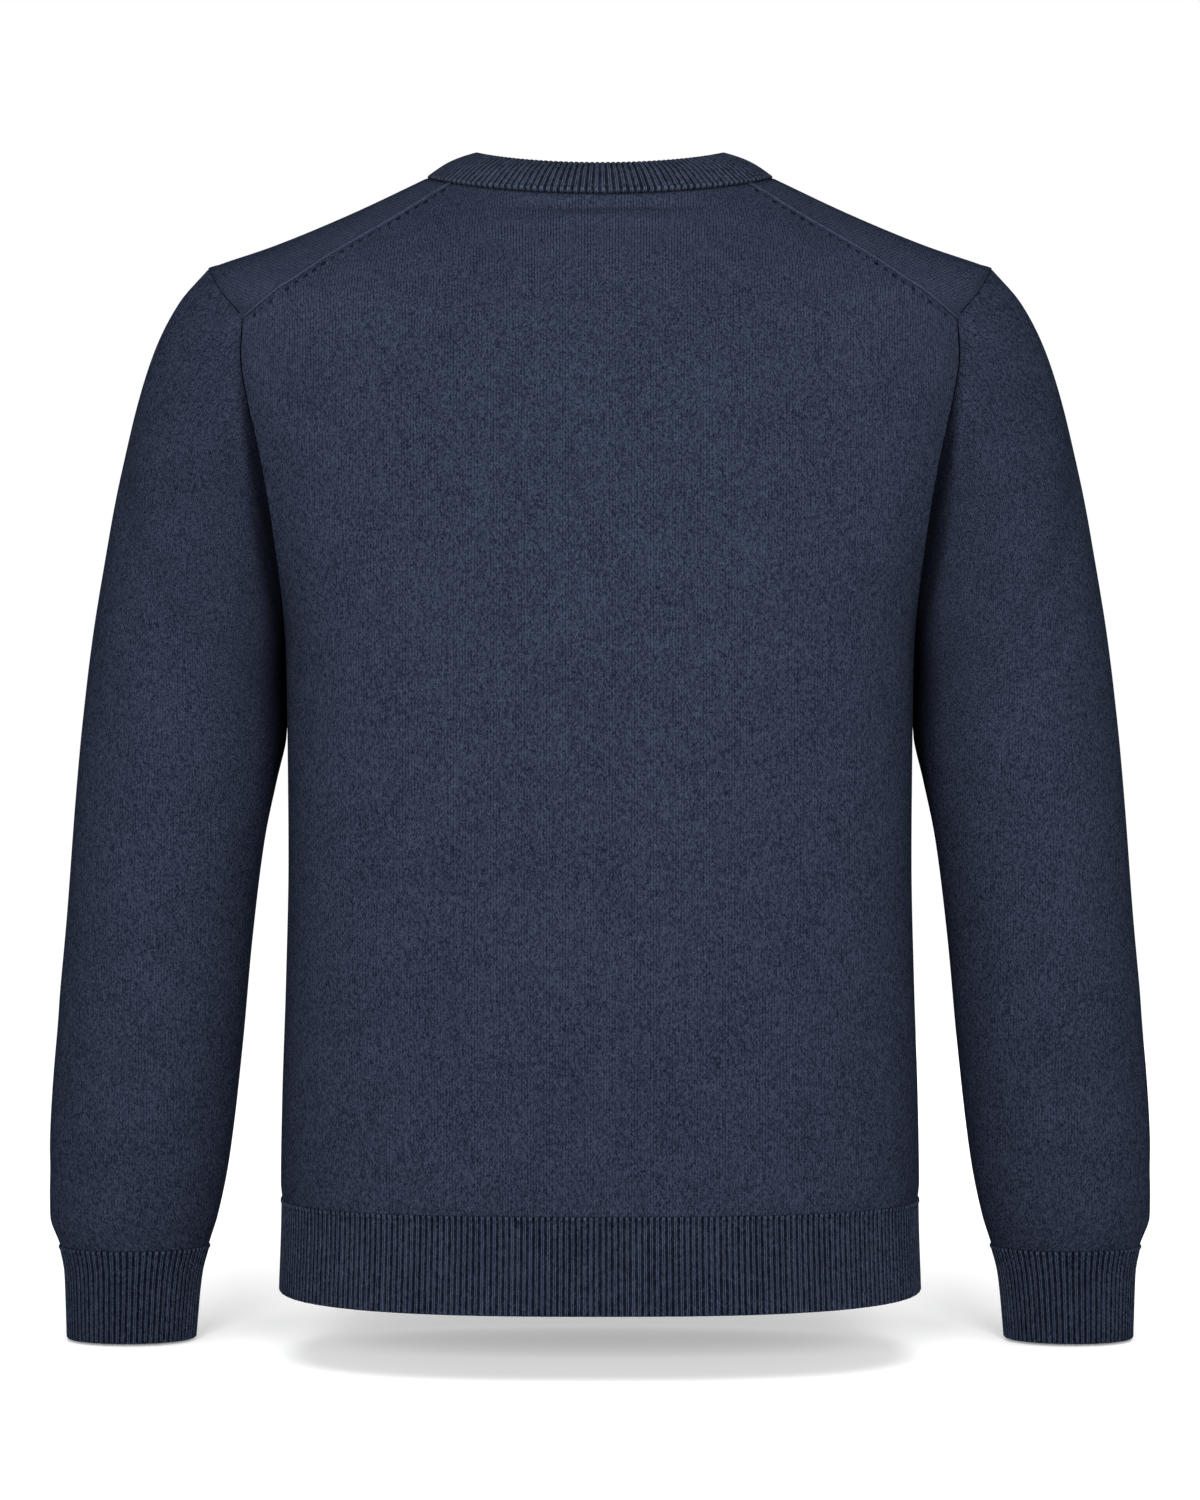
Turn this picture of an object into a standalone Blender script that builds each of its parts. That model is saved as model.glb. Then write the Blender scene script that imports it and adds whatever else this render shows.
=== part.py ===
"""Crew-neck cardigan in fine knit, buttoned up and filled out as if worn.

Metres, +Z up. The front faces -Y and the wearer's left arm is at +X. The origin is the middle of the
neck, level with the two points where the shoulder line runs into the neckband.

The body is one smooth skin, body_skin(angle, run). angle goes round the wearer: 0 at the left side seam,
a quarter turn at the centre back. run goes up: from the hem edge along the side seam, over the shoulder
and on to the neck seam. Each knitted panel is a piece of that skin between its seams, given a thickness.
The sleeves and the neckband are skins of their own that start on the seams of the body.
"""

import math

import bmesh
import bpy
import numpy as np

# Seams and walls
SEAM_GAP = 0.0004  # between two pieces that are sewn together
ARMHOLE_GAP = 0.0006  # between the armhole and the sleeve's first row
PANEL_WALL = 0.0015
RIB_WALL = 0.0019
RIB_RELIEF = 0.0006  # from the groove of a rib to its ridge
RIB_PITCH = 0.0037
CUFF_RIB_PITCH = 0.0031

# Body
HEM_RIB = 0.0550  # height of the ribbed hem
UNDERARM_RUN = 0.384
TIP_RUN = 0.615  # shoulder tip, the highest point of the armhole
CORNER_RUN = 0.586  # where the shoulder seam meets the armhole, behind the tip
NECK_RUN = 0.757
SIDE_ROUND = 1.35  # how softly the neckline turns over the shoulder

# Front bands and buttons
BAND_HALF = 0.016
FRONT_EDGE = BAND_HALF + SEAM_GAP / 2  # where the fronts start, beside the bands
BAND_WALL = 0.0020
BAND_RIBS = 8
BAND_LIFT = 0.0003
BAND_BEND = 0.012  # how far below the neckband the bands start to bend
BUTTONS = 7
BUTTON_RADIUS = 0.0088
BUTTON_THICK = 0.0030
BUTTON_RIM = 0.0016
BUTTON_HOLE_RADIUS = 0.0010
BUTTON_HOLE_SPREAD = 0.0026  # from the button's centre to each of its four holes
TOP_BUTTON_RISE = 0.50  # on the neckband, as a share of its width
LOW_BUTTON_RUN = 0.030

# Sleeve
SLEEVE_LENGTH = 0.6665  # along the outer side, from the shoulder tip to the edge of the cuff
CUFF_TOP = 0.607
CAP_FADE = 0.17  # how far down the sleeve the outline of the armhole can still be felt
TIP_TO_CORNER = 0.08  # share of the armhole's way round between the tip and the corner
FOLD_DEPTH = 0.0095  # of the fold where the sleeve hangs beside the body
FOLD_DOWN = 0.020  # how far down the sleeve that fold is deepest
FOLD_SPAN = (0.10, 0.26, 0.34, 0.47)  # ways round from the tip: where it starts, is full, shrinks and ends

# Faces along each piece
BACK_COLUMNS = 20
FRONT_COLUMNS = 14
SIDE_ROWS = 8
ARMHOLE_ROWS = 10
OVER_ROWS = 2  # from the shoulder tip to the corner
OVER_BOW = 0.195
SHOULDER_ROWS = 5
FOLD_ROWS = (0.0, 0.009, 0.020, 0.034, 0.052, 0.078)
SLEEVE_ROWS = (*FOLD_ROWS, 0.115, 0.165, 0.225, 0.285, 0.345, 0.415, 0.495, 0.558, 0.588, CUFF_TOP)
NECKBAND_RIBS = 120

YARN = (0.032, 0.043, 0.078, 1.0)
HORN = (0.020, 0.024, 0.036, 1.0)


def table(names, *rows):
    """The columns of a short table, by name."""
    return dict(zip(names.split(), np.array(rows, float).T))


# Rings of the body. half: half the width. side, back, front: height at the side, the centre back and the
# centre front. rear, fore: reach behind and before the origin. square: 2 is an ellipse, more is squarer.
BODY = table(
    "run   half    side    back    front   rear   fore   square",
    (0.000, 0.1908, -0.6638, -0.6662, -0.6662, 0.1250, 0.1220, 2.70),
    (0.052, 0.1894, -0.6125, -0.6125, -0.6125, 0.1230, 0.1203, 2.70),
    (0.064, 0.1905, -0.6005, -0.6005, -0.6005, 0.1240, 0.1212, 2.70),
    (0.111, 0.1898, -0.5535, -0.5535, -0.5535, 0.1225, 0.1195, 2.70),
    (0.183, 0.1876, -0.4815, -0.4815, -0.4815, 0.1185, 0.1170, 2.65),
    (0.255, 0.1862, -0.4095, -0.4095, -0.4095, 0.1150, 0.1155, 2.60),
    (0.327, 0.1868, -0.3375, -0.3385, -0.3395, 0.1145, 0.1175, 2.55),
    (0.384, 0.1880, -0.2805, -0.2835, -0.2865, 0.1165, 0.1220, 2.50),
    (0.459, 0.2065, -0.2055, -0.2135, -0.2225, 0.1175, 0.1255, 2.40),
    (0.534, 0.2230, -0.1320, -0.1490, -0.1700, 0.1130, 0.1245, 2.25),
    (0.588, 0.2330, -0.0792, -0.1060, -0.1390, 0.1070, 0.1200, 2.10),
    (0.615, 0.2350, -0.0545, -0.0865, -0.1250, 0.1030, 0.1165, 2.00),
    (0.623, 0.2275, -0.0516, -0.0820, -0.1224, 0.1016, 0.1150, 2.00),
    (0.656, 0.1960, -0.0410, -0.0615, -0.1115, 0.0955, 0.1090, 2.00),
    (0.706, 0.1500, -0.0220, -0.0393, -0.0973, 0.0860, 0.0985, 2.00),
    (0.757, 0.1035, 0.0000, -0.0185, -0.0844, 0.0750, 0.0880, 2.00),
)

# Upper edge of the neckband, as a ring of the same kind, and how far the band swells between its edges.
NECK_TOP = dict(half=0.0738, side=0.0152, back=0.0018, front=-0.0554, rear=0.0530, fore=0.0790, square=2.0)
NECKBAND_SWELL = 0.0024

# Armhole: how far out its seam lies behind and in front, at places up the body.
ARMHOLE = table(
    "run   behind  before",
    (0.384, 0.1880, 0.1880),
    (0.400, 0.1882, 0.1862),
    (0.417, 0.1890, 0.1838),
    (0.447, 0.1921, 0.1803),
    (0.471, 0.1954, 0.1790),
    (0.505, 0.2016, 0.1805),
    (0.534, 0.2079, 0.1860),
    (0.561, 0.2117, 0.1955),
    (0.586, 0.2106, 0.2110),
    (0.602, 0.2254, 0.2245),
    (0.615, 0.2350, 0.2350),
)

# Left shoulder seam: how far out it lies, from the armhole to the neckband, behind the shoulder.
SHOULDER = table(
    "run   out",
    (0.586, 0.2106),
    (0.609, 0.1895),
    (0.640, 0.1670),
    (0.698, 0.1270),
    (0.757, 0.0877),
)

# Sections of the left sleeve, from the armhole to the cuff's edge. down: way along the outer side.
# out_x, out_z: the outer side. in_x, in_z: the underarm side. back, front: reach in y.
SLEEVE = table(
    "down   out_x   out_z    in_x    in_z    back    front",
    (0.000, 0.2350, -0.0545, 0.1880, -0.2805, 0.0500, -0.0740),
    (0.026, 0.2522, -0.0750, 0.1884, -0.2835, 0.0560, -0.0750),
    (0.058, 0.2668, -0.1035, 0.1888, -0.2890, 0.0605, -0.0765),
    (0.098, 0.2791, -0.1412, 0.1890, -0.2965, 0.0620, -0.0785),
    (0.137, 0.2885, -0.1790, 0.1887, -0.3050, 0.0612, -0.0805),
    (0.186, 0.2976, -0.2275, 0.1884, -0.3185, 0.0580, -0.0825),
    (0.233, 0.3056, -0.2745, 0.1894, -0.3350, 0.0535, -0.0840),
    (0.283, 0.3120, -0.3240, 0.1956, -0.3620, 0.0480, -0.0848),
    (0.332, 0.3168, -0.3720, 0.2030, -0.3970, 0.0420, -0.0852),
    (0.404, 0.3228, -0.4433, 0.2108, -0.4570, 0.0330, -0.0860),
    (0.478, 0.3302, -0.5167, 0.2174, -0.5230, 0.0210, -0.0880),
    (0.551, 0.3354, -0.5899, 0.2262, -0.5920, 0.0070, -0.0915),
    (0.588, 0.3358, -0.6268, 0.2336, -0.6270, -0.0015, -0.0925),
    (0.607, 0.3304, -0.6455, 0.2396, -0.6455, -0.0110, -0.0925),
    (0.626, 0.3276, -0.6640, 0.2448, -0.6640, -0.0210, -0.0925),
    (0.6665, 0.3270, -0.7040, 0.2492, -0.7040, -0.0305, -0.0950),
)


def smooth(places, values, at):
    """Values at some places on a smooth curve through a table's rows that never overshoots them."""
    step = np.diff(places)
    slope = np.diff(values) / step
    same_way = slope[1:] * slope[:-1] > 0
    total = np.where(same_way, slope[1:] + slope[:-1], 1.0)
    middle = np.where(same_way, 2 * slope[1:] * slope[:-1] / total, 0.0)
    tangent = np.concatenate([slope[:1], middle, slope[-1:]])
    i = np.clip(np.searchsorted(places, at) - 1, 0, len(step) - 1)
    u = (at - places[i]) / step[i]
    rise = u * u * (3 - 2 * u)
    bow = step[i] * u * (1 - u) * ((1 - u) * tangent[i] - u * tangent[i + 1])
    return values[i] * (1 - rise) + values[i + 1] * rise + bow


def ease(low, high, value):
    """0 below low, 1 above high and an S-curve between."""
    u = np.clip((value - low) / (high - low), 0, 1)
    return u * u * (3 - 2 * u)


def unit(vectors):
    """The vectors at length 1."""
    return vectors / np.linalg.norm(vectors, axis=-1, keepdims=True)


def normals_of(place, across, along, reach, end):
    """Outward normals of the skin place(across, along), from its slopes both ways.

    The slope along the skin is taken over a short reach each way, so that the cloth turns softly.
    """
    one = place(across + 1e-4, along) - place(across - 1e-4, along)
    other = place(across, np.minimum(along + reach, end)) - place(across, np.maximum(along - reach, 0))
    return unit(np.cross(one, other))


# The body


def oval(ring, angle):
    """Point of a ring: a squared oval in plan that drops from the side to the centre back and front."""
    c, s = np.cos(angle), np.sin(angle)
    power = 2 / ring["square"]
    behind = s > 0
    reach = np.where(behind, ring["rear"], ring["fore"])
    drop = np.where(behind, ring["back"], ring["front"]) - ring["side"]
    x = ring["half"] * np.sign(c) * np.abs(c) ** power
    y = reach * np.sign(s) * np.abs(s) ** power
    z = ring["side"] + drop * np.abs(s) ** SIDE_ROUND
    return np.stack(np.broadcast_arrays(x, y, z), axis=-1)


def body(angle, run):
    """Point of the body's outer skin."""
    ring = {name: smooth(BODY["run"], BODY[name], run) for name in BODY if name != "run"}
    return oval(ring, angle)


def body_skin(angle, run):
    """Points and outward normals of the body."""
    return body(angle, run), normals_of(body, angle, run, 0.010, NECK_RUN)


def angle_at(x, run, front):
    """The angle at which the body's ring lies x to the left of the middle."""
    half = smooth(BODY["run"], BODY["half"], run)
    square = smooth(BODY["run"], BODY["square"], run)
    share = np.clip(np.abs(x) / half, 0, 1) ** (square / 2)
    turned = np.arccos(np.sign(x) * share)
    return 2 * math.pi - turned if front else turned


def along_line(start, end, count, inset=0.0):
    """Places on the straight line between two places (angle, run), evenly spaced on the skin."""
    share = np.linspace(0, 1, 400)[:, None]
    line = np.array(start) * (1 - share) + np.array(end) * share
    return evenly(line, count, inset)


def evenly(line, count, inset=0.0):
    """The line's places (angle, run) again, count + 1 of them, evenly spaced on the skin."""
    points = body(line[:, 0], line[:, 1])
    way = np.concatenate([[0], np.cumsum(np.linalg.norm(np.diff(points, axis=0), axis=1))])
    at = np.linspace(inset, way[-1] - inset, count + 1)
    return np.stack([np.interp(at, way, line[:, k]) for k in (0, 1)], axis=1)


def seam_between(low_run, high_run, column, front):
    """Dense places (angle, run) on the armhole between two runs."""
    run = low_run + (high_run - low_run) * (1 - np.cos(np.linspace(0, math.pi, 600))) / 2
    out = smooth(ARMHOLE["run"], ARMHOLE[column], run)
    angle = angle_at(out, run, front)
    return np.stack([angle, run], axis=1)


def armhole_parts():
    """Dense places on the left armhole: underarm to corner, corner to tip, and underarm to tip in front."""
    behind = seam_between(UNDERARM_RUN, CORNER_RUN, "behind", False)
    over = seam_between(CORNER_RUN, TIP_RUN, "behind", False)
    before = seam_between(UNDERARM_RUN, TIP_RUN, "before", True)
    before[:, 0] -= 2 * math.pi
    return behind, over, before


# The sleeve


def armhole_loop(turn):
    """Place (angle, run) on the left armhole. turn: 0 at the tip, 0.5 under the arm, 1 back at the tip."""
    behind, over, before = armhole_parts()
    pieces = (
        (over[::-1], 0, TIP_TO_CORNER),
        (behind[::-1], TIP_TO_CORNER, 0.5),
        (before, 0.5, 1),
    )
    found = np.zeros(np.shape(turn) + (2,))
    for line, low, high in pieces:
        even = evenly(line, 240)
        inside = (turn >= low) & (turn <= high)
        for k in (0, 1):
            value = np.interp(turn, np.linspace(low, high, len(even)), even[:, k])
            found[..., k] = np.where(inside, value, found[..., k])
    return found


def section(turn, down, lean=None):
    """Point of a plain oval section of the sleeve. lean replaces the even way round."""
    row = {name: smooth(SLEEVE["down"], SLEEVE[name], down) for name in SLEEVE if name != "down"}
    around = 2 * math.pi * turn if lean is None else lean
    c, s = np.cos(around), np.sin(around)
    x = (row["out_x"] + row["in_x"]) / 2 + (row["out_x"] - row["in_x"]) / 2 * c
    y = (row["back"] + row["front"]) / 2 + (row["back"] - row["front"]) / 2 * s
    z = (row["out_z"] + row["in_z"]) / 2 + (row["out_z"] - row["in_z"]) / 2 * c
    return np.stack(np.broadcast_arrays(x, y, z), axis=-1)


def cap_lean(turn):
    """The way round the first section at which it passes nearest to the armhole."""
    place = armhole_loop(turn)
    seam = body(place[..., 0], place[..., 1])
    top, bottom = section(0.0, 0.0), section(0.5, 0.0)
    axis = (top - bottom) / 2
    share = np.clip((seam - (top + bottom) / 2) @ axis / (axis @ axis), -1, 1)
    return seam, np.where(turn <= 0.5, np.arccos(share), 2 * math.pi - np.arccos(share))


def fold(turn, down):
    """Depth of the fold in which the sleeve hangs beside the body, behind and in front.

    Down the sleeve it is x² · exp(2 - 2x), deepest at x = down / FOLD_DOWN = 1. Round the armhole it comes
    in below the shoulder and has gone under the arm.
    """
    start, full, shrinking, end = FOLD_SPAN
    from_tip = 0.5 - np.abs(turn - 0.5)
    share = down / FOLD_DOWN
    round_it = ease(start, full, from_tip) * (1 - ease(shrinking, end, from_tip))
    return FOLD_DEPTH * round_it * share**2 * np.exp(2 - 2 * share)


def sleeve(turn, down):
    """Point of the left sleeve's outer skin. turn as in armhole_loop, down from the armhole."""
    wrapped = np.mod(turn, 1.0)
    seam, lean = cap_lean(wrapped)
    fade = ease(0, CAP_FADE, down)[..., None]
    start = section(wrapped, 0.0, lean)
    around = lean + (2 * math.pi * wrapped - lean) * fade[..., 0]
    point = section(wrapped, down, around) + (seam - start) * (1 - fade)
    middle = (section(0.0, down) + section(0.5, down)) / 2
    return point + unit(middle - point) * fold(wrapped, down)[..., None]


def sleeve_skin(turn, down):
    """Points and outward normals of the left sleeve."""
    turn, down = np.broadcast_arrays(turn, down)
    return sleeve(turn, down), -normals_of(sleeve, turn, down, 0.002, SLEEVE_LENGTH)


# The neckband


def neck(angle, rise):
    """Point of the neckband's outer skin. rise: 0 at the neck seam, 1 at the upper edge."""
    low = body(angle, np.full(np.shape(angle), NECK_RUN))
    top = oval(NECK_TOP, angle)
    out = unit(np.stack([np.cos(angle) * 0.7, np.sin(angle) * 0.7, np.full(np.shape(angle), 0.7)], axis=-1))
    rise = np.asarray(rise)[..., None]
    return low * (1 - rise) + top * rise + out * NECKBAND_SWELL * np.sin(math.pi * rise)


def neck_skin(angle, rise):
    """Points and outward normals of the neckband."""
    angle, rise = np.broadcast_arrays(angle, rise)
    return neck(angle, rise), normals_of(neck, angle, rise, 0.05, 1.0)


def neck_angle_at(x, rise):
    """The angle at which the neckband's front lies x to the left of the middle."""
    half = BODY["half"][-1] * (1 - rise) + NECK_TOP["half"] * rise
    return 2 * math.pi - np.arccos(x / half)


# The neckband's width at the centre front
BAND_RISE = float(np.linalg.norm(neck(np.array(-math.pi / 2), 1.0) - neck(np.array(-math.pi / 2), 0.0)))


# Walls


def zip_edges(one, other, closed):
    """Triangles between two edges of a wall, which may have different numbers of points."""
    n, m = (len(one), len(other)) if closed else (len(one) - 1, len(other) - 1)
    faces, i, j = [], 0, 0
    while i < n or j < m:
        a, b = one[i % len(one)], other[j % len(other)]
        if j == m or (i < n and (i + 1) * m <= (j + 1) * n):
            faces.append((a, one[(i + 1) % len(one)], b))
            i += 1
        else:
            faces.append((a, other[(j + 1) % len(other)], b))
            j += 1
    return faces


def sheet_faces(index, closed):
    """Quads between neighbouring rows and columns of a sheet of point numbers."""
    if closed:
        index = np.concatenate([index, index[:, :1]], axis=1)
    quads = np.stack([index[:-1, :-1], index[:-1, 1:], index[1:, 1:], index[1:, :-1]], axis=-1)
    return quads.reshape(-1, 4).tolist()


def material(name, colour, roughness, metallic=0.0):
    """A plain surface."""
    made = bpy.data.materials.new(name)
    made.use_nodes = True
    shader = made.node_tree.nodes["Principled BSDF"]
    shader.inputs["Base Color"].default_value = colour
    shader.inputs["Roughness"].default_value = roughness
    shader.inputs["Metallic"].default_value = metallic
    return made


def put(name, vertices, faces, surface):
    """One closed object with its faces pointing out."""
    mesh = bpy.data.meshes.new(name)
    mesh.from_pydata([tuple(v) for v in vertices], [], faces)
    work = bmesh.new()
    work.from_mesh(mesh)
    bmesh.ops.triangulate(work, faces=work.faces)
    bmesh.ops.recalc_face_normals(work, faces=work.faces)
    if work.calc_volume(signed=True) < 0:
        bmesh.ops.reverse_faces(work, faces=work.faces)
    work.to_mesh(mesh)
    work.free()
    mesh.shade_smooth()
    mesh.set_sharp_from_angle(angle=math.radians(50))
    mesh.materials.append(surface)
    made = bpy.data.objects.new(name, mesh)
    bpy.context.scene.collection.objects.link(made)
    return made


def wall(name, outer, inner, closed=False, mirrored=False):
    """A wall of cloth between two sheets of points (row, column, xyz), joined along its open edges."""
    flip = np.array([-1.0, 1.0, 1.0]) if mirrored else 1.0
    vertices = np.concatenate([outer.reshape(-1, 3), inner.reshape(-1, 3)]) * flip
    a = np.arange(outer.shape[0] * outer.shape[1]).reshape(outer.shape[:2])
    b = np.arange(inner.shape[0] * inner.shape[1]).reshape(inner.shape[:2]) + a.size
    faces = sheet_faces(a, closed) + sheet_faces(b, closed)
    edges = [(a[0], b[0]), (a[-1], b[-1])]
    for one, other in edges:
        faces += zip_edges(list(one), list(other), closed)
    if not closed:
        faces += zip_edges(list(a[:, 0]), list(b[:, 0]), False)
        faces += zip_edges(list(a[:, -1]), list(b[:, -1]), False)
    return put(name, vertices, faces, material(name, YARN, 0.95))


def thick(points, normals, wall_thickness, lift=0.0):
    """The outer and inner points of a wall."""
    return points + normals * lift, points + normals * (lift - wall_thickness)


def rib_lift(columns):
    """Height of each column of points over the groove: groove, ridge, groove and so on."""
    return RIB_RELIEF * (np.arange(columns) % 2)[None, :, None]


# Panels


def side_seam():
    """Places (angle, run) on the left side seam, from the ribbed hem to just under the armhole."""
    run = np.linspace(HEM_RIB + SEAM_GAP / 2, UNDERARM_RUN, SIDE_ROWS + 1)[:-1]
    return np.stack([np.zeros(SIDE_ROWS), run], axis=1)


def shoulder_seam(rows):
    """Places (angle, run) on the left shoulder seam, from the armhole's corner to the neckband."""
    run = np.linspace(CORNER_RUN, NECK_RUN - SEAM_GAP / 2, 400)
    angle = angle_at(smooth(SHOULDER["run"], SHOULDER["out"], run), run, False)
    return evenly(np.stack([angle, run], axis=1), rows)


def back_edge():
    """The back panel's left edge: side seam, armhole, shoulder seam."""
    armhole = evenly(armhole_parts()[0], ARMHOLE_ROWS)[:-1]
    return np.concatenate([side_seam(), armhole, shoulder_seam(SHOULDER_ROWS)])


def back_panel():
    """The back, from side seam to side seam and up to the neckband."""
    rows = []
    for angle, run in back_edge():
        rows.append(along_line((angle, run), (math.pi - angle, run), BACK_COLUMNS, SEAM_GAP / 2))
    place = np.array(rows)
    points, normals = body_skin(place[..., 0], place[..., 1])
    return wall("back_panel", *thick(points, normals, PANEL_WALL))


def front_edges():
    """The left front's two edges, row by row: along the button band, and side seam, armhole and shoulder."""
    _, over, before = armhole_parts()
    armhole = evenly(before, ARMHOLE_ROWS)[:-1]
    tip = evenly(over[::-1], OVER_ROWS)[:-1]
    outer = np.concatenate([side_seam(), armhole, tip, shoulder_seam(SHOULDER_ROWS)])
    knots = np.cumsum([0, SIDE_ROWS, ARMHOLE_ROWS, OVER_ROWS, SHOULDER_ROWS])
    runs = np.array([HEM_RIB + SEAM_GAP / 2, UNDERARM_RUN, 0.655, 0.690, NECK_RUN - SEAM_GAP / 2])
    run = np.interp(np.arange(len(outer)), knots, runs)
    inner = np.stack([angle_at(FRONT_EDGE, run, True) - 2 * math.pi, run], axis=1)
    return inner, outer


def front_panel(name, mirrored):
    """One front, which also goes over the shoulder to the seam behind it.

    The rows near the corner of the armhole bow up, to pass over the shoulder tip.
    """
    corner = SIDE_ROWS + ARMHOLE_ROWS + OVER_ROWS
    share = np.linspace(0, 1, 400)[:, None]
    rows = []
    for k, (start, end) in enumerate(zip(*front_edges())):
        line = start * (1 - share) + end * share
        line[:, 1:] += OVER_BOW * max(0, 1 - abs(k - corner) / 3) * share**4 * (1 - share)
        rows.append(evenly(line, FRONT_COLUMNS, SEAM_GAP / 2))
    place = np.array(rows)
    points, normals = body_skin(place[..., 0], place[..., 1])
    return wall(name, *thick(points, normals, PANEL_WALL), mirrored=mirrored)


def ribbed_hem(name, start_x, mirrored, whole_back):
    """A ribbed hem, knitted with its panel: a straight strip of the body with a ridge at every rib."""
    sheets = []
    for ribs_on in (True, False):
        rows = []
        for run in (0.0, HEM_RIB - SEAM_GAP / 2):
            if whole_back:
                start, end = (0.0, run), (math.pi, run)
            else:
                start, end = (angle_at(start_x, run, True) - 2 * math.pi, run), (0.0, run)
            length = ring_length(start, end)
            count = 2 * round(length / RIB_PITCH) if ribs_on else round(length / (5 * RIB_PITCH))
            if rows:
                count = len(rows[0]) - 1
            rows.append(along_line(start, end, count, SEAM_GAP / 2))
        place = np.array(rows)
        points, normals = body_skin(place[..., 0], place[..., 1])
        lift = rib_lift(place.shape[1]) if ribs_on else -RIB_WALL
        sheets.append(points + normals * lift)
    return wall(name, *sheets, mirrored=mirrored)


def ring_length(start, end):
    """The way along the body's skin between two places."""
    share = np.linspace(0, 1, 400)
    line = [np.array(start)[k] * (1 - share) + np.array(end)[k] * share for k in (0, 1)]
    return float(np.linalg.norm(np.diff(body(*line), axis=0), axis=1).sum())


def sleeve_turns():
    """The ways round the sleeve of its columns, which meet the rows of the panels at the armhole."""
    over = np.linspace(0, TIP_TO_CORNER, OVER_ROWS + 1)[:-1]
    behind = np.linspace(TIP_TO_CORNER, 0.5, ARMHOLE_ROWS + 1)[:-1]
    before = np.linspace(0.5, 1, ARMHOLE_ROWS + 1)[:-1]
    return np.concatenate([over, behind, before])


def sleeve_wall(name, mirrored):
    """A sleeve from the armhole to the cuff, open at both ends.

    At the armhole its wall leans with the body's, except in the valley under the arm.
    """
    turns = sleeve_turns()
    down = np.repeat(np.array(SLEEVE_ROWS)[:, None], len(turns), axis=1)
    down[0] = 0.001 * ARMHOLE_GAP / np.linalg.norm(sleeve(turns, 0.001) - sleeve(turns, 0.0), axis=-1)
    down[-1] -= SEAM_GAP / 2
    points, normals = sleeve_skin(turns[None, :], down)
    seam = armhole_loop(turns)
    body_normals = body_skin(seam[:, 0], seam[:, 1])[1]
    alike = ease(0.2, 0.7, (body_normals * normals[0]).sum(-1))[:, None]
    normals[0] = unit(normals[0] * (1 - alike) + body_normals * alike)
    return wall(name, *thick(points, normals, PANEL_WALL), closed=True, mirrored=mirrored)


def cuff(name, mirrored):
    """A ribbed cuff, open at both ends."""
    girth = section(np.linspace(0, 1, 200), SLEEVE_LENGTH)
    ribs = round(float(np.linalg.norm(np.diff(girth, axis=0), axis=1).sum()) / CUFF_RIB_PITCH)
    down = np.array([CUFF_TOP + SEAM_GAP / 2, CUFF_TOP + 0.02, SLEEVE_LENGTH])[:, None]
    sheets = []
    for count, ribs_on in ((2 * ribs, True), (20, False)):
        turns = np.linspace(0, 1, count + 1)[None, :-1]
        points, normals = sleeve_skin(turns, down)
        lift = rib_lift(count) if ribs_on else -RIB_WALL
        sheets.append(points + normals * lift)
    return wall(name, *sheets, closed=True, mirrored=mirrored)


def neckband():
    """The ribbed neckband, round the neck from one button band to the other."""
    sheets = []
    rises = (SEAM_GAP / 0.03, 0.5, 1.0)
    for count, ribs_on in ((2 * NECKBAND_RIBS, True), (44, False)):
        rows = []
        for rise in rises:
            start = neck_angle_at(BAND_HALF + SEAM_GAP, rise) - 2 * math.pi
            dense = np.linspace(start, math.pi - start, 1500)
            line = neck(dense, np.full(dense.shape, rise))
            way = np.concatenate([[0], np.cumsum(np.linalg.norm(np.diff(line, axis=0), axis=1))])
            rows.append(np.interp(np.linspace(0, way[-1], count + 1), way, dense))
        points, normals = neck_skin(np.array(rows), np.array(rises)[:, None])
        lift = rib_lift(count + 1) if ribs_on else -RIB_WALL
        sheets.append(points + normals * lift)
    return wall("neckband", *sheets)


# The button bands


def front_line(x, way):
    """Points and normals on the line down the front that lies x to the left of the middle.

    way is the body's run up to the neck seam, and beyond it the way up the neckband.
    """
    run = np.minimum(way, NECK_RUN)
    rise = np.clip((way - NECK_RUN) / BAND_RISE, 0, 1)
    low, low_normals = body_skin(angle_at(x, run, True), run)
    high, high_normals = neck_skin(neck_angle_at(x, rise), rise)
    above = (way > NECK_RUN)[..., None]
    near = ease(-BAND_BEND, BAND_BEND, way - NECK_RUN)[..., None]
    normals = unit(low_normals * (1 - near) + high_normals * near)
    return np.where(above, high, low), normals


def band_rows():
    """Places of the bands' rows: their ends, the bend, above and below each button and half way between."""
    buttons_at = button_ways()
    flats = np.concatenate([buttons_at - BUTTON_RADIUS, buttons_at + BUTTON_RADIUS])
    between = (buttons_at[1:] + buttons_at[:-1]) / 2
    ends = [0.0, NECK_RUN - BAND_BEND, NECK_RUN, NECK_RUN + BAND_RISE]
    return np.sort(np.concatenate([flats, between, ends]))


def button_band(name, lift, ribs):
    """One of the two bands: a strip down the front that is ribbed along its length where it shows."""
    columns = 2 * ribs + 1 if ribs else 3
    sheets = []
    for count, over in ((columns, True), (3, False)):
        x = np.linspace(-BAND_HALF, BAND_HALF, count)[None, :]
        way = band_rows()[:, None]
        points, normals = front_line(*np.broadcast_arrays(x, way))
        relief = rib_lift(count) if over and ribs else 0.0
        sheets.append(points + normals * (lift + relief - (0.0 if over else BAND_WALL)))
    return wall(name, *sheets)


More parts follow.
